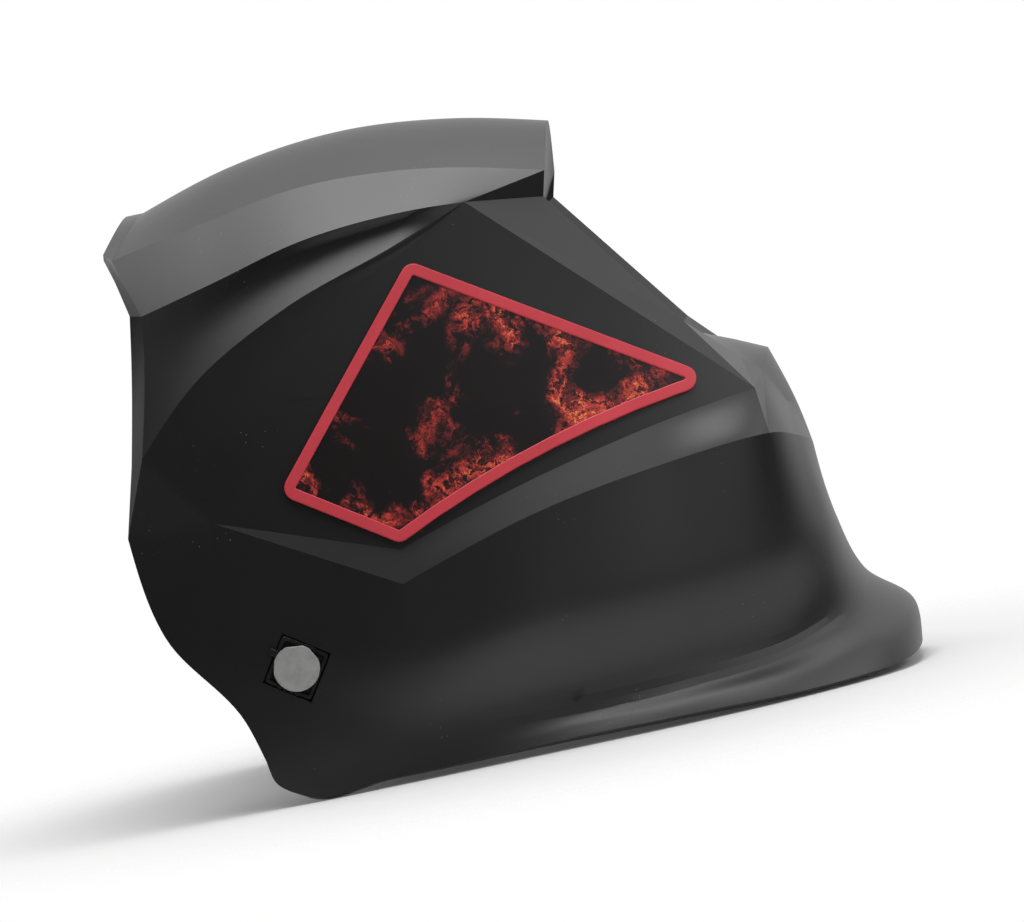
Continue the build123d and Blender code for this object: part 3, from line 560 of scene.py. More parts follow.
def ember_print(name):
    """Printed plate: a plain marbling of glowing wisps on near-black, thicker towards the edges."""
    look = Finish(name, Specular_IOR_Level=0.4, Coat_Roughness=0.3)
    far = look.place.vector("SUBTRACT", PRINT_MIDDLE).vector("MULTIPLY", PRINT_SPREAD)
    drift = look.noise(34.0, 4.0, 0.6, 0.6) + look.ramp(far.vector("LENGTH"), 0.15, 1.1, -0.08, 0.09)
    warp = look.noise(40.0, 5.0, 0.65, output="Color")
    bent = look.place.vector("ADD", warp.vector("MULTIPLY", PRINT_WARP))
    wisp = look.noise(55.0, 8.0, 0.70, 0.8, bent)
    veins = look.noise(110.0, 7.0, 0.70, 1.0, bent)
    ridge = 1.0 - abs(wisp - 0.5) * 14.0
    thread = 1.0 - abs(veins - 0.5) * 18.0
    patch = look.ramp(drift, 0.47, 0.64)
    heat = look.ramp(ridge, 0.1, 1.0) * patch
    glow = look.ramp(thread, 0.1, 1.0) * look.ramp(drift, 0.45, 0.60)
    warmth = heat * 0.72 + glow * 0.34 + patch * look.ramp(wisp, 0.5, 0.7) * 0.10
    base = look.mix(look.ramp(warmth, 0.02, 0.40), PRINT_DARK, PRINT_DEEP)
    base = look.mix(look.ramp(warmth, 0.35, 0.85), base, PRINT_RED)
    base = look.mix(look.ramp(warmth, 0.85, 1.1), base, PRINT_ORANGE)
    peel = look.noise(700.0, 2.0)
    return look.drive(Base_Color=base, Roughness=0.44 + (peel - 0.5) * 0.06 + (drift - 0.5) * 0.1,
                      Coat_Weight=look.ramp(drift, 0.3, 0.7, 0.1, 0.2),
                      Normal=look.bump(peel, 0.00003, 0.25))


def satin_metal(name, colour, rough, metallic=1.0, along=(4.0, 400.0, 400.0)):
    """Brushed metal: fine parallel lines, with duller patches and small pits."""
    look = Finish(name)
    lines = look.noise(9.0, 3.0, 0.6, 0.0, look.node("Mapping", {}, Vector=look.place, Scale=along))
    patch = look.noise(90.0, 4.0, 0.6)
    pits = look.ramp(look.cells(900.0), 0.05, 0.12, 1.0, 0.0)
    base = look.mix(look.ramp(lines, 0.3, 0.7), lighter(colour, 0.9), lighter(colour, 1.08))
    base = look.mix(look.ramp(patch, 0.5, 0.75) * 0.25 + pits * 0.2, base, lighter(colour, 0.7))
    return look.drive(Base_Color=base, Roughness=rough + (lines - 0.5) * 0.16 + (patch - 0.5) * 0.12,
                      Metallic=look.ramp(patch, 0.2, 0.8, metallic, metallic * 0.9),
                      Normal=look.bump(lines, 0.00002, 0.4))


def clear_plastic(name, tint, transmission, smear=0.06):
    """Clear sheet: nearly smooth, with faint smears, wiping marks and a few specks."""
    look = Finish(name, IOR=1.58, Transmission_Weight=transmission)
    cloud = look.noise(22.0, 4.0)
    streaked = look.node("Mapping", {}, Vector=look.place, Scale=(6.0, 60.0, 60.0))
    wipe = look.noise(8.0, 2.0, 0.5, 0.5, streaked)
    speck = look.ramp(look.cells(500.0), 0.03, 0.07, 1.0, 0.0) * look.ramp(cloud, 0.55, 0.65)
    base = look.mix(speck * 0.5, tint, lighter(tint, 0.8))
    gloss = 0.03 + look.ramp(cloud, 0.4, 0.8) * smear + speck * 0.3
    gloss = gloss + look.ramp(wipe, 0.6, 0.75) * smear * 0.5
    return look.drive(Base_Color=base, Roughness=gloss, Normal=look.bump(wipe, 0.000004, 0.2))


STRIP_WIDTH = 0.00625


def solar_face(name):
    """Solar cell: dark blue strips between fine silver lines."""
    look = Finish(name, Coat_Roughness=0.1)
    across = look.node("SeparateXYZ", {}, "X", Vector=look.place)
    strip = across.math("PINGPONG", across, STRIP_WIDTH / 2)
    line = look.ramp(strip, 0.00012, 0.0002, 1.0, 0.0)
    crystal = look.noise(600.0, 3.0)
    base = look.mix(look.ramp(crystal, 0.3, 0.7), (0.012, 0.014, 0.05), (0.03, 0.03, 0.11))
    return look.drive(Base_Color=look.mix(line, base, (0.5, 0.5, 0.52)), Metallic=line,
                      Roughness=0.28 + (crystal - 0.5) * 0.1 + line * 0.1, Coat_Weight=1.0 - line,
                      Normal=look.bump(line, 0.00003, 0.4))


def board_face(name):
    """Circuit board: green lacquer over copper tracks and pads."""
    look = Finish(name)
    tracks = look.node("TexBrick", {}, "Fac", Vector=look.place, Scale=320.0, Mortar_Size=0.03)
    pads = look.ramp(look.cells(260.0), 0.12, 0.16, 1.0, 0.0)
    speck = look.noise(800.0, 2.0)
    base = look.mix(look.ramp(speck, 0.3, 0.7), (0.012, 0.10, 0.035), (0.02, 0.15, 0.05))
    base = look.mix(tracks * 0.6, base, (0.05, 0.28, 0.10))
    base = look.mix(pads, base, (0.62, 0.58, 0.45))
    return look.drive(Base_Color=base, Metallic=pads * 0.8,
                      Roughness=0.4 - pads * 0.1 + (speck - 0.5) * 0.1,
                      Normal=look.bump(tracks + pads, 0.00004, 0.5))


def strap_plastic(name, colour, rough):
    """Flexible band: a silky moulded face with flow lines and pale bend marks."""
    look = Finish(name, Specular_IOR_Level=0.5)
    drawn = look.node("Mapping", {}, Vector=look.place, Scale=(3.0, 3.0, 26.0))
    flow = look.noise(7.0, 4.0, 0.55, 0.3, drawn)
    speck = look.noise(2600.0, 2.0)
    marks = look.ramp(look.noise(26.0, 5.0, 0.6), 0.56, 0.74)
    base = look.mix(look.ramp(flow, 0.35, 0.65), lighter(colour, 0.85), lighter(colour, 1.2))
    base = look.mix(marks * 0.12, base, (0.2, 0.2, 0.2))
    return look.drive(Base_Color=base, Roughness=rough + (flow - 0.5) * 0.2 + (speck - 0.5) * 0.1,
                      Normal=look.bump(speck, 0.000015, 0.5, look.bump(flow, 0.0001, 0.3)))


def knitted(name, colour, pitch=0.0011):
    """Knitted cloth: rows of small loops, painted lighter in their middles and with painted shade in the
    gaps between them, with fuzz, lint and slightly worn crests.
    """
    look = Finish(name, Sheen_Weight=0.35, Sheen_Roughness=0.6)
    turned = look.node("Mapping", {}, Vector=look.place, Rotation=(0.6, 0.3, 0.8))
    loops = look.cells(1 / pitch, "SMOOTH_F1", "Distance", turned, Smoothness=0.6, Randomness=0.35)
    ribs = look.node("TexWave", {"bands_direction": "Z"}, "Fac", Vector=turned, Scale=0.5 / pitch,
                     Distortion=1.5, Detail=2.0)
    fuzz = look.noise(1400.0, 4.0, 0.7)
    wear = look.noise(30.0, 4.0)
    # painted highlight on each loop's middle and painted shade in the gaps between loops
    base = look.mix(look.ramp(loops, 0.1, 0.7), lighter(colour, 1.3), lighter(colour, 0.55))
    base = look.mix(look.ramp(wear, 0.45, 0.75) * 0.3, base, lighter(colour, 1.9))
    base = look.mix(look.ramp(fuzz, 0.68, 0.75) * 0.3, base, (0.32, 0.32, 0.33))
    return look.drive(Base_Color=base, Roughness=0.88 + (fuzz - 0.5) * 0.15,
                      Normal=look.bump(loops * -1.0 + ribs * 0.4 + fuzz * 0.3, 0.0003, 0.7))


# ---------------------------------------------------------------- the shell
PIVOT_SLANT = 33.4       # degrees
PIVOT_SQUARE = 0.0204
SQUARE_SINK = 0.0006     # how far the square boss ends inside the wall's face
SQUARE_CUT = 0.01        # half the depth of the cut for it
WINDOW = (0.096, 0.062, 0.008)      # the opening's width, height and corner radius
CUT_EDGE = 0.0005        # rounding of the openings' edges


def cutter(matrix, half, corner=0.0, depth=0.03):
    """A block with rounded upright edges, for cutting an opening."""
    mesh = bmesh.new()
    bmesh.ops.create_cube(mesh, size=2.0)
    bmesh.ops.scale(mesh, vec=(half[0], half[1], depth), verts=mesh.verts)
    if corner:
        upright = [edge for edge in mesh.edges if abs((edge.verts[0].co - edge.verts[1].co).z) > depth]
        bmesh.ops.bevel(mesh, geom=upright, offset=corner, segments=8, affect="EDGES", profile=0.5)
    mesh.transform(matrix)
    data = bpy.data.meshes.new("cutter")
    mesh.to_mesh(data)
    mesh.free()
    block = bpy.data.objects.new("cutter", data)
    bpy.context.scene.collection.objects.link(block)
    return block


def window_matrix(network):
    """The window's frame: right, up the slope and outwards, from the opening's middle."""
    top, bottom = network.points["wT"], network.points["wB"]
    up = (top - bottom).normalized()
    out = Vector((1, 0, 0)).cross(up)
    return Matrix.Translation((top + bottom) / 2) @ Matrix(((1, 0, 0), up, out)).transposed().to_4x4()


def pivot_matrix(side):
    """A pivot's frame: its square's sides, and outwards from the wall."""
    low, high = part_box("pivot_plate_" + side)
    sign = SIDES[side]
    centre = (low + high) / 2
    wall = max(abs(low.x), abs(high.x)) + SQUARE_SINK
    turn = math.radians(PIVOT_SLANT)
    ahead = Vector((0, -math.cos(turn), -math.sin(turn)))
    outward = Vector((sign, 0, 0))
    across = outward.cross(ahead)
    place = Vector((sign * wall, centre.y, centre.z))
    return Matrix.Translation(place) @ Matrix((ahead, across, outward)).transposed().to_4x4()


def make_shell(sizes):
    """The moulded shell: one wall with rounded creases, the window opening and the pivots' holes."""
    finish = moulded("shell black", sizes.shell_colour, sizes.shell_roughness, dust=0.5, shine=0.85)
    piece = to_object("shell_moulding", shell_wall(), finish)
    modifier(piece, "BEVEL", width=sizes.crease_radius, segments=3, limit_method="WEIGHT",
             miter_outer="MITER_ARC")
    bake(piece)
    wide, tall, corner = WINDOW
    blocks = [cutter(window_matrix(Network(shell_points())), (wide / 2, tall / 2), corner)]
    blocks += [cutter(pivot_matrix(side), (PIVOT_SQUARE / 2, PIVOT_SQUARE / 2), depth=SQUARE_CUT)
               for side in SIDES]
    for block in blocks:
        modifier(piece, "BOOLEAN", operation="DIFFERENCE", solver="EXACT", object=block)
    bake(piece)
    for block in blocks:
        bpy.data.objects.remove(block)
    modifier(piece, "BEVEL", width=CUT_EDGE, segments=2, limit_method="ANGLE",
             angle_limit=math.radians(55))
    modifier(piece, "WEIGHTED_NORMAL", keep_sharp=False)
    seat(piece, "root", "shell_black", "shell")


# ---------------------------------------------------------------- stage
CAMERA_MIDDLE = Vector((-0.060, -0.002, 0.111))
CAMERA_REACH = 2.2
CAMERA_TURN = (3.0, 2.0, 11.8)     # degrees: round to the front, down, and roll
CAMERA_LENS = 197.3


def make_camera():
    turn, down, roll = (math.radians(angle) for angle in CAMERA_TURN)
    front, side, up = Vector((0, -1, 0)), Vector((1, 0, 0)), Vector((0, 0, 1))
    ahead = (side * math.cos(turn) - front * math.sin(turn)) * math.cos(down) - up * math.sin(down)
    flat = front * math.cos(turn) + side * math.sin(turn)
    rise = flat.cross(ahead)
    right = flat * math.cos(roll) - rise * math.sin(roll)
    above = flat * math.sin(roll) + rise * math.cos(roll)
    data = bpy.data.cameras.new("camera")
    data.lens, data.sensor_width, data.clip_start, data.clip_end = CAMERA_LENS, 36.0, 0.05, 50.0
    camera = bpy.data.objects.new("camera", data)
    turned = Matrix((right, above, -ahead)).transposed().to_4x4()
    camera.matrix_world = Matrix.Translation(CAMERA_MIDDLE - ahead * CAMERA_REACH) @ turned
    bpy.context.scene.collection.objects.link(camera)
    bpy.context.scene.camera = camera


def make_lamp(name, place, aim, size, power):
    data = bpy.data.lights.new(name, "AREA")
    data.shape, data.size, data.size_y, data.energy = "RECTANGLE", size[0], size[1], power
    lamp = bpy.data.objects.new(name, data)
    lamp.location = place
    lamp.rotation_euler = (Vector(aim) - Vector(place)).to_track_quat("-Z", "Y").to_euler()
    bpy.context.scene.collection.objects.link(lamp)


FLOOR_RADIUS = 0.34
FLOOR_SOLID = 0.15                 # radius inside which the floor is not see-through
ROOM_AXIS = (0.72, 0.0, 0.69)      # from the camera's side to the white side of the room
ROOM_FADE = (0.1, 0.85)
ROOM_WHITE, ROOM_DARK = 1.0, 0.03  # strength of what reflections see on its two sides


def make_floor():
    """A pale round floor that fades into the white backdrop and keeps the object's shadow."""
    mesh = bmesh.new()
    bmesh.ops.create_circle(mesh, cap_ends=True, segments=96, radius=FLOOR_RADIUS)
    look = Finish("floor", Roughness=0.8)
    grain = look.noise(150.0, 3.0)
    spread = look.place.vector("LENGTH")
    look.drive(Base_Color=look.mix(grain * 0.1, (0.9, 0.9, 0.9), (0.84, 0.84, 0.84)),
               Alpha=look.ramp(spread, FLOOR_SOLID, FLOOR_RADIUS, 1.0, 0.0))
    floor = to_object("floor", mesh, look, smooth=False)
    floor.location.z = -0.0002


def make_world(ambient):
    """White surroundings behind and above the object, and a darker room on the other side.

    The backdrop is plain white to the camera and through glass. Reflections see it too, and fade
    to the room's tone towards the side that the camera stands on.
    """
    world = bpy.data.worlds.new("studio")
    bpy.context.scene.world = world
    world.use_nodes = True
    backdrop = world.node_tree.nodes["Background"]
    room = Graph(world.node_tree)
    camera, glossy, through = (room.node("LightPath", {}, "Is %s Ray" % kind)
                               for kind in ("Camera", "Glossy", "Transmission"))
    lean = room.node("TexCoord", {}, "Generated").vector("DOT_PRODUCT", ROOM_AXIS)
    seen = camera.math("MAXIMUM", camera, through)
    mirrored = glossy * room.ramp(lean, *ROOM_FADE, ROOM_DARK, ROOM_WHITE)
    strength = seen + (1.0 - seen) * (mirrored + (1.0 - glossy) * ambient)
    plug(backdrop.inputs["Strength"], strength)
    backdrop.inputs["Color"].default_value = (1, 1, 1, 1)


# Each lamp's place, what it points at, its two sides, and its power in watts.
LAMPS = {
    "front": ((-0.45, -1.3, 0.95), (-0.05, -0.05, 0.12), (0.9, 0.5), 3.6),
    "fill": ((-1.5, -1.2, 0.5), (-0.05, -0.05, 0.12), (1.4, 1.0), 3.0),
    "rear": ((0.9, 1.5, 0.8), (0.0, 0.05, 0.12), (1.2, 0.8), 3.0),
    "overhead": ((-0.15, -0.05, 1.25), (-0.1, -0.03, 0.1), (1.0, 0.8), 9.0),
}


def make_stage(sizes):
    bpy.context.scene.view_settings.view_transform = "Standard"
    make_camera()
    make_floor()
    make_world(sizes.surroundings)
    for name, settings in LAMPS.items():
        make_lamp(name, *settings)


# ---------------------------------------------------------------- side plates
# The plate's corners, as depth and height.
KITE = {"foot": (0.044, 0.090), "rear": (0.0865, 0.118), "top": (0.021, 0.196),
        "front": (-0.089, 0.1255)}
KITE_BOW = (-0.026, 0.115)     # middle of the bowed edge from front to foot
ARC_STEPS = 8
CORNER_STEPS = 7
GENTLE = 165                   # degrees at an outline's point, above which it isn't rounded
PLATE_ROOT = 0.0003            # how far the border reaches into the wall
OUTLINE_SPACING = 0.003
FILL_RINGS = 20                # rings of places from a plate's edge to its middle


def through(a, b, c, count):
    """Places along the circular arc from a to c through b."""
    ax, ay, bx, by, cx, cy = *a, *b, *c
    d = 2 * (ax * (by - cy) + bx * (cy - ay) + cx * (ay - by))
    squares = [x * x + y * y for x, y in (a, b, c)]
    centre = Vector(((squares[0] * (by - cy) + squares[1] * (cy - ay) + squares[2] * (ay - by)) / d,
                     (squares[0] * (cx - bx) + squares[1] * (ax - cx) + squares[2] * (bx - ax)) / d))
    first, last = Vector(a) - centre, Vector(c) - centre
    turn = math.atan2(first.x * last.y - first.y * last.x, first.dot(last))
    for i in range(count + 1):
        angle = turn * i / count
        yield centre + Matrix.Rotation(angle, 2) @ first


def rounded(points, radius, count):
    """A closed outline with its sharp corners rounded; gentle turns are left alone."""
    result = []
    for i, here in enumerate(points):
        back, ahead = points[i - 1] - here, points[(i + 1) % len(points)] - here
        inside = back.angle(ahead)
        if inside > math.radians(GENTLE):
            result.append(here)
            continue
        cut = radius / math.tan(inside / 2)
        inward = (back.normalized() + ahead.normalized()).normalized()
        middle = here + inward * (radius / math.sin(inside / 2))
        start = here + back.normalized() * cut - middle
        end = here + ahead.normalized() * cut - middle
        turn = math.atan2(start.x * end.y - start.y * end.x, start.dot(end))
        result += [middle + Matrix.Rotation(turn * j / count, 2) @ start for j in range(count + 1)]
    return result


def divided(points, spacing):
    """A closed outline with places added along its long sides."""
    result = []
    for here, ahead in zip(points, points[1:] + points[:1]):
        count = max(1, round((ahead - here).length / spacing))
        result += [here.lerp(ahead, i / count) for i in range(count)]
    return result


def inset(points, distance):
    """A closed outline brought in by a distance, keeping its number of points."""
    count = len(points)
    area = sum(a.x * b.y - a.y * b.x for a, b in zip(points, points[1:] + points[:1]))
    sign = 1 if area > 0 else -1
    result = []
    for i, here in enumerate(points):
        ahead = (points[(i + 1) % count] - here).normalized()
        back = (here - points[i - 1]).normalized()
        normal = (ahead + back).normalized()
        widen = max(0.5, normal.dot(ahead))
        result.append(here + Vector((-normal.y, normal.x)) * (sign * distance / widen))
    return result


def kite_outline(sizes):
    """The plate's outline in depth and height, with rounded corners."""
    arc = list(through(KITE["front"], KITE_BOW, KITE["foot"], ARC_STEPS))
    corners = [*arc, Vector(KITE["rear"]), Vector(KITE["top"])]
    return divided(rounded(corners, sizes.badge_corner, CORNER_STEPS), OUTLINE_SPACING)


def surface_of(piece):
    """A tree for finding places on a piece as it shows."""
    graph = bpy.context.evaluated_depsgraph_get()
    return BVHTree.FromObject(piece, graph)


def on_wall(tree, side, place, height):
    """The place on the shell's side at a depth and height, and raised square to the side."""
    sign = SIDES[side]
    hit, normal, _, _ = tree.ray_cast(Vector((sign * 0.2, place[0], place[1])), Vector((-sign, 0, 0)))
    if hit is None:
        raise RuntimeError("no wall behind the side plate")
    return hit + normal * height


def ring_piece(name, rings, finish, closed):
    """A skin through rings of places; closed joins the last ring to the first."""
    mesh = bmesh.new()
    rows = [[mesh.verts.new(place) for place in ring] for ring in rings]
    pairs = list(zip(rows, rows[1:])) + ([(rows[-1], rows[0])] if closed else [])
    for low, high in pairs:
        for i in range(len(low)):
            mesh.faces.new([low[i - 1], low[i], high[i], high[i - 1]])
    if not closed:
        mesh.faces.new(rows[-1])
    bmesh.ops.recalc_face_normals(mesh, faces=mesh.faces)
    return to_object(name, mesh, finish)


def make_badges(sizes):
    """Raised red borders round printed plates, following the recess on each side."""
    border = glossy_border("badge red", sizes.badge_colour)
    printed = ember_print("badge print")
    tree = surface_of(bpy.data.objects["shell_moulding"])
    outline = kite_outline(sizes)
    thick, width, soft = sizes.badge_thickness, sizes.badge_border, sizes.badge_rounding
    profile = [(0.0, -PLATE_ROOT), (0.0, thick - soft)]
    for angle in (30, 60, 90):
        turn = math.radians(angle)
        profile.append((soft * (1 - math.cos(turn)), thick - soft * (1 - math.sin(turn))))
    profile += [(width - far, high) for far, high in profile[:0:-1]] + [(width, -PLATE_ROOT)]
    for side in SIDES:
        rings = [[on_wall(tree, side, place, high) for place in inset(outline, far)]
                 for far, high in profile]
        rim = ring_piece("badge_border_" + side, rings, border, closed=True)
        seat(rim, "root", "badge_red", "badge_frame_" + side)
        modifier(rim, "WEIGHTED_NORMAL", keep_sharp=False)
        edge = inset(outline, width - 0.0001)
        middle = sum(edge, Vector((0, 0))) / len(edge)
        rings = [[on_wall(tree, side, place.lerp(middle, i / FILL_RINGS), sizes.print_thickness)
                  for place in edge] for i in range(FILL_RINGS)]
        plate = ring_piece("badge_print_" + side, rings, printed, closed=False)
        seat(plate, "root", "badge_print", "badge_insert_" + side)


# ---------------------------------------------------------------- headgear pivots
def loop_piece(name, matrix, rings, finish, bevel):
    """A solid through rings of flat places given with their heights, set in a frame of its own."""
    mesh = bmesh.new()
    rows = [[mesh.verts.new((place.x, place.y, high)) for place in ring] for ring, high in rings]
    for low, high in zip(rows, rows[1:]):
        for i in range(len(low)):
            mesh.faces.new([low[i - 1], low[i], high[i], high[i - 1]])
    for row in (rows[0], rows[-1]):
        mesh.faces.new(row)
    mesh.transform(matrix)
    bmesh.ops.recalc_face_normals(mesh, faces=mesh.faces)
    piece = to_object(name, mesh, finish)
    soft_edges(piece, bevel, 30.0)
    return piece


def circle(radius, count=64, flats=()):
    """Places round a circle; a flat is an angle in degrees and a depth cut from the edge."""
    places = []
    for i in range(count):
        angle = math.tau * i / count
        reach = radius
        for at, cut in flats:
            lean = math.cos(angle - math.radians(at))
            if lean > 0:
                reach = min(reach, (radius - cut) / lean)
        places.append(Vector((reach * math.cos(angle), reach * math.sin(angle))))
    return places


def square(half, corner, middle=(0.0, 0.0), wide=1.0):
    """Places round a square with rounded corners."""
    corners = [Vector((half * wide * x, half * y)) for x, y in ((1, 1), (-1, 1), (-1, -1), (1, -1))]
    return [place + Vector(middle) for place in rounded(corners, corner, 5)]


PLATE_GAP = 0.0006          # dark line between the wall and the plate
PLATE_RIM = 0.0013
PLATE_TOP = -0.0006         # heights in the pivot's frame, from the square's face
PLATE_FLOOR = -0.0028
PLATE_CORNERS = (0.0014, 0.0008)    # outside and inside the rim
FLANGE = (0.016, 0.0036, 0.0060)    # radius, and how deep its two faces lie
COLLAR = (0.0074, 0.0072, -0.0009)  # radius below and above, and its top's height
PEG = (0.0013, 0.0009, 1.3, 0.0003)         # half size, corner, widening and height
TAB = (0.0005, 0.0002, 4.5, -0.0002)
TOOTH = (0.0004, 0.00015, 1.7, -0.0001)
TEETH, TOOTH_FIRST, TOOTH_PITCH = 4, -0.0035, 0.0024
BOLT = (0.005, 0.0202)              # radius, and how far in it reaches
DISC_SIDES = 72
DISC_BACK = (-0.0008, -0.0006)      # heights of the bolt's end and the disc's back
DISC_FLATS = ((118, 0.0006), (62, 0.0004), (-160, 0.0003))


def make_pivots(sizes):
    """A satin disc in a sunk square plate at each side of the shell."""
    black = moulded("pivot black", (0.010, 0.010, 0.011), 0.36, 0.0002, 0.00002)
    pale = satin_metal("pivot disc", sizes.disc_colour, 0.55, 0.25, (260.0, 30.0, 30.0))
    outer = PIVOT_SQUARE / 2 - PLATE_GAP
    inner = outer - PLATE_RIM
    radius, near, far = FLANGE
    outside, inside = square(outer, PLATE_CORNERS[0]), square(inner, PLATE_CORNERS[1])
    low, high, collar_top = COLLAR

    def nub(name, shape, middle, bevel):
        half, corner, wide, top = shape
        ring = square(half, corner, middle, wide)
        return loop_piece(name, matrix, [(ring, -near), (ring, top)], black, bevel)

    for side in SIDES:
        matrix = pivot_matrix(side)
        parts = [loop_piece("plate_rim_" + side, matrix, [
            (outside, -near), (outside, PLATE_TOP), (inside, PLATE_TOP), (inside, PLATE_FLOOR)],
            black, 0.00025)]
        parts.append(loop_piece("plate_flange_" + side, matrix, [
            (circle(radius), -far), (circle(radius), -near)], black, 0.0003))
        parts.append(nub("plate_peg_" + side, PEG, (-outer - 0.0010, 0.0022), 0.0003))
        parts.append(nub("plate_tab_" + side, TAB, (0.0015, outer - 0.0002), 0.0001))
        for step in range(TEETH):
            middle = (TOOTH_FIRST + step * TOOTH_PITCH, -outer + 0.0001)
            parts.append(nub("plate_tooth_%d_%s" % (step, side), TOOTH, middle, 0.0001))
        parts.append(loop_piece("plate_collar_" + side, matrix, [
            (circle(low), PLATE_FLOOR), (circle(high), collar_top)], black, 0.0002))
        for part in parts:
            seat(part, "root", "carrier_black")
        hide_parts("pivot_plate_" + side)
        disc = circle(sizes.disc_radius, DISC_SIDES, DISC_FLATS)
        reach, length = BOLT
        shank = circle(reach, DISC_SIDES)
        head = loop_piece("pivot_disc_" + side, matrix, [
            (shank, -length), (shank, DISC_BACK[0]), (disc, DISC_BACK[1]),
            (disc, sizes.disc_proud)], pale, 0.0003)
        seat(head, "root", "disc_grey", "pivot_bolt_" + side)


# ---------------------------------------------------------------- pieces carried over from the solids
def make_window(sizes):
    """The lens carrier, its lenses, and the filter cartridge with its controls."""
    black = moulded("carrier black", sizes.carrier_colour, 0.45, 0.0003, 0.00003)
    grey = moulded("control grey", (0.33, 0.33, 0.34), 0.5, 0.0003, 0.00003)
    red = moulded("button red", (0.45, 0.03, 0.03), 0.4, 0.0002, 0.00002)
    clear = clear_plastic("clear lens", (0.90, 0.93, 0.91), 0.92)
    glass = clear_plastic("filter glass", (0.015, 0.07, 0.035), 0.35, 0.03)
    steel = satin_metal("steel", (0.56, 0.56, 0.55), 0.32)
    dress("lens_carrier", black, 0.0005)
    for node in ("cartridge_front", "cartridge_rear"):
        dress(node, black, 0.0004)
    for node in ("cover_lens_outer", "cover_lens_inner"):
        dress(node, clear, 0.0002)
    dress("filter_glass", glass, 0.0003)
    dress("solar_cell", solar_face("solar cell"), 0.0002)
    sensor = clear_plastic("sensor window", (0.05, 0.006, 0.01), 0.3, 0.02)
    for side in SIDES:
        dress("arc_sensor_" + side, sensor, 0.0003)
    dress("circuit_board", board_face("circuit board"), 0.0001)
    for node in ("coin_cell", "latch_pin"):
        dress(node, steel, 0.0003)
    for node in ("battery_cover", "sensitivity_knob", "delay_knob", "shade_knob", "mode_switch"):
        dress(node, grey, 0.0004)
    dress("test_button", red, 0.0004)
    dress("cartridge_latch", black, 0.0004)


def make_headgear(sizes):
    """The bands, straps, arms, ratchet and knobs."""
    band = strap_plastic("band black", sizes.band_colour, 0.48)
    knob = moulded("knob black", sizes.carrier_colour, 0.5, 0.0004, 0.00004)
    steel = satin_metal("washer steel", (0.56, 0.56, 0.55), 0.35)
    for node in ("headband_front", "rear_band", "crown_strap_left", "crown_strap_right", "strap_buckle"):
        dress(node, band, 0.0004)
    for side in SIDES:
        dress("side_arm_" + side, band, 0.0006)
        dress("pivot_knob_" + side, knob, 0.0007)
        dress("pivot_washer_" + side, steel, 0.0002)
    dress("ratchet_housing", knob, 0.0010)
    dress("ratchet_knob", knob, 0.0009)


PAD_FRAMES = 20
PAD_VOXEL = 0.002       # the pads are thin, so their mesh is fine
PAD_PRESSURE = 4.0


def make_pad(name, node, body, finish, swell):
    """A soft pad swollen from its solid: remeshed, filled with air as cloth, and capped."""
    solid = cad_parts[node]
    data = solid.data.copy()
    data.transform(solid.matrix_world)
    piece = bpy.data.objects.new(name, data)
    bpy.context.scene.collection.objects.link(piece)
    piece.data.materials.clear()
    piece.data.materials.append(finish.material)
    modifier(piece, "REMESH", mode="VOXEL", voxel_size=PAD_VOXEL)
    modifier(piece, "SMOOTH", factor=0.5, iterations=6)
    bake(piece)
    start = [vert.co.copy() for vert in piece.data.vertices]
    cloth = modifier(piece, "CLOTH")
    cloth.settings.use_pressure = True
    cloth.settings.uniform_pressure_force = PAD_PRESSURE
    cloth.settings.effector_weights.gravity = 0.0
    for step in range(1, PAD_FRAMES + 1):
        bpy.context.scene.frame_set(step)
    bake(piece)
    for vert, home in zip(piece.data.vertices, start):
        move = vert.co - home
        if move.length > swell:
            vert.co = home + move * (swell / move.length)
    bpy.context.scene.frame_set(1)
    modifier(piece, "SUBSURF", levels=1, render_levels=1)
    bake(piece)
    piece.data.shade_smooth()
    seat(piece, body, "sweat_cloth", node)


def make_pads(sizes):
    """The sweatband and the nape pad."""
    cloth = knitted("sweat cloth", sizes.cloth_colour)
    make_pad("sweatband_pad", "sweatband", "headgear", cloth, sizes.pad_swell)
    make_pad("nape_pad", "rear_pad", "nape", cloth, sizes.pad_swell)


# ---------------------------------------------------------------- settings and operators
def colour_setting(name, description, value):
    return FloatVectorProperty(name=name, description=description, subtype="COLOR", default=value,
                               min=0.0, max=1.0)


def length_setting(name, description, value):
    return FloatProperty(name=name, description=description, unit="LENGTH", default=value)


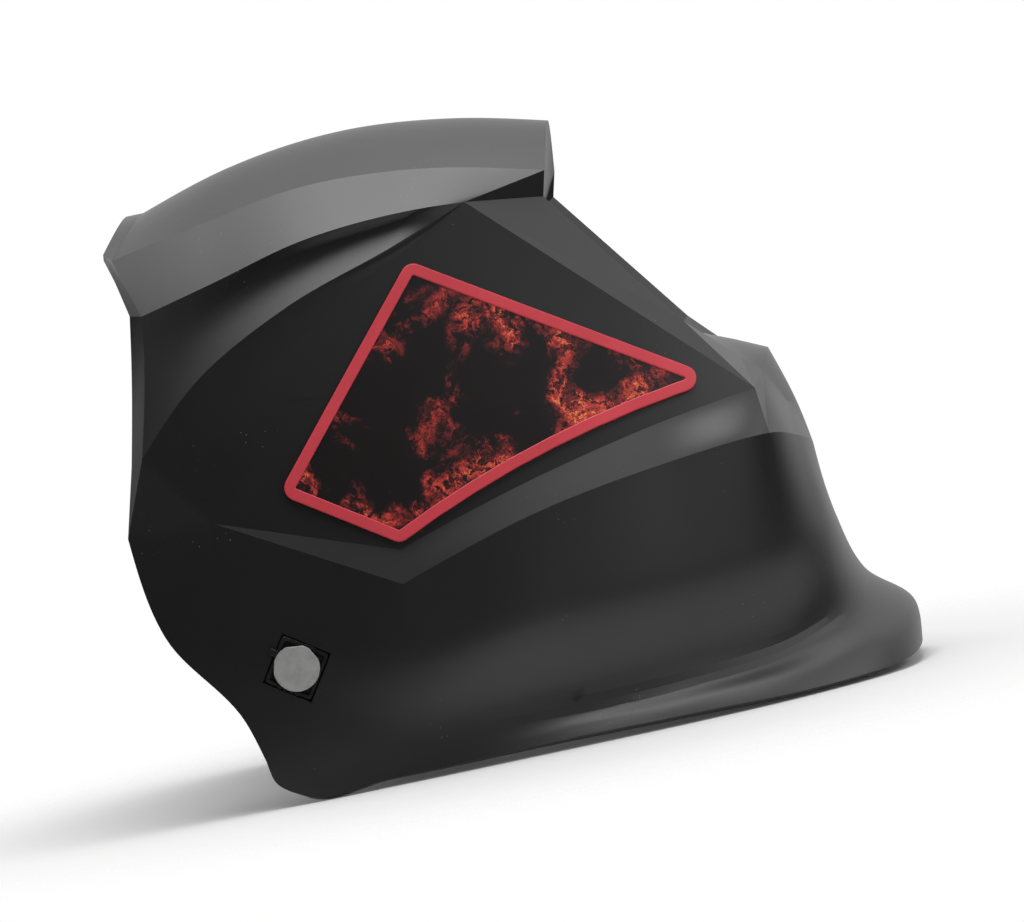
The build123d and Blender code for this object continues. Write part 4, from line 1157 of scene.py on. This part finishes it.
class HelmetSizes(bpy.types.PropertyGroup):
    shell_colour: colour_setting("Shell colour", "Colour of the shell's plastic", (0.005, 0.005, 0.0054))
    shell_roughness: FloatProperty(name="Shell roughness", description="Roughness of the shell's grain",
                                   default=0.42, min=0.0, max=1.0)
    crease_radius: length_setting("Crease radius", "Rounding of the shell's creases", 0.0015)
    badge_colour: colour_setting("Border colour", "Colour of the side plates' border",
                                 (0.66, 0.048, 0.070))
    badge_corner: length_setting("Plate corner", "Radius of the side plates' corners", 0.005)
    badge_border: length_setting("Border width", "Width of the side plates' border", 0.0045)
    badge_thickness: length_setting("Border height", "How far the border stands off the wall", 0.0016)
    badge_rounding: length_setting("Border rounding", "Rounding of the border's edges", 0.0005)
    print_thickness: length_setting("Print height", "How far the printed plate stands off the wall",
                                    0.0011)
    disc_colour: colour_setting("Disc colour", "Colour of the pivot discs", (0.36, 0.36, 0.345))
    disc_radius: length_setting("Disc radius", "Radius of the pivot discs", 0.009)
    disc_proud: length_setting("Disc height", "How far the pivot discs stand off the wall", 0.0012)
    carrier_colour: colour_setting("Carrier colour", "Colour of the inner plastic parts",
                                   (0.009, 0.009, 0.010))
    band_colour: colour_setting("Band colour", "Colour of the headgear's bands", (0.014, 0.014, 0.015))
    cloth_colour: colour_setting("Cloth colour", "Colour of the pads' cloth", (0.03, 0.03, 0.032))
    pad_swell: length_setting("Pad swell", "How far a filled pad may swell", 0.002)
    surroundings: FloatProperty(name="Surroundings", description="Light from the white surroundings",
                                default=0.45, min=0.0)


class HELMET_OT_stage(bpy.types.Operator):
    """Set the floor, lamps, backdrop and camera"""
    bl_idname = "helmet.stage"
    bl_label = "Stage"

    def execute(self, context):
        make_stage(context.scene.helmet_sizes)
        return {"FINISHED"}


class HELMET_OT_shell(bpy.types.Operator):
    """Draw the moulded shell"""
    bl_idname = "helmet.shell"
    bl_label = "Shell"

    def execute(self, context):
        make_shell(context.scene.helmet_sizes)
        return {"FINISHED"}


class HELMET_OT_badges(bpy.types.Operator):
    """Draw the side plates on the shell"""
    bl_idname = "helmet.badges"
    bl_label = "Side plates"

    def execute(self, context):
        make_badges(context.scene.helmet_sizes)
        return {"FINISHED"}


class HELMET_OT_pivots(bpy.types.Operator):
    """Draw the headgear pivots"""
    bl_idname = "helmet.pivots"
    bl_label = "Pivots"

    def execute(self, context):
        make_pivots(context.scene.helmet_sizes)
        return {"FINISHED"}


class HELMET_OT_window(bpy.types.Operator):
    """Finish the window and the filter cartridge"""
    bl_idname = "helmet.window"
    bl_label = "Window and cartridge"

    def execute(self, context):
        make_window(context.scene.helmet_sizes)
        return {"FINISHED"}


class HELMET_OT_headgear(bpy.types.Operator):
    """Finish the headgear"""
    bl_idname = "helmet.headgear"
    bl_label = "Headgear"

    def execute(self, context):
        make_headgear(context.scene.helmet_sizes)
        return {"FINISHED"}


class HELMET_OT_pads(bpy.types.Operator):
    """Fill the sweatband and the nape pad"""
    bl_idname = "helmet.pads"
    bl_label = "Pads"

    def execute(self, context):
        make_pads(context.scene.helmet_sizes)
        return {"FINISHED"}


class HELMET_PT_panel(bpy.types.Panel):
    """Buttons for each group of pieces"""
    bl_idname = "HELMET_PT_panel"
    bl_label = "Welding helmet"
    bl_space_type = "VIEW_3D"
    bl_region_type = "UI"
    bl_category = "Helmet"

    def draw(self, context):
        for item in OPERATORS:
            self.layout.operator(item.bl_idname)


OPERATORS = [HELMET_OT_stage, HELMET_OT_shell, HELMET_OT_badges, HELMET_OT_pivots, HELMET_OT_window,
             HELMET_OT_headgear, HELMET_OT_pads]
CLASSES = [HelmetSizes, *OPERATORS, HELMET_PT_panel]


def register():
    for item in CLASSES:
        bpy.utils.register_class(item)
    bpy.types.Scene.helmet_sizes = PointerProperty(type=HelmetSizes)


def unregister():
    del bpy.types.Scene.helmet_sizes
    for item in reversed(CLASSES):
        bpy.utils.unregister_class(item)


def main():
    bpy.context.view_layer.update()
    register()
    for item in OPERATORS:
        group, name = item.bl_idname.split(".")
        getattr(getattr(bpy.ops, group), name)()


if __name__ == "__main__":
    main()
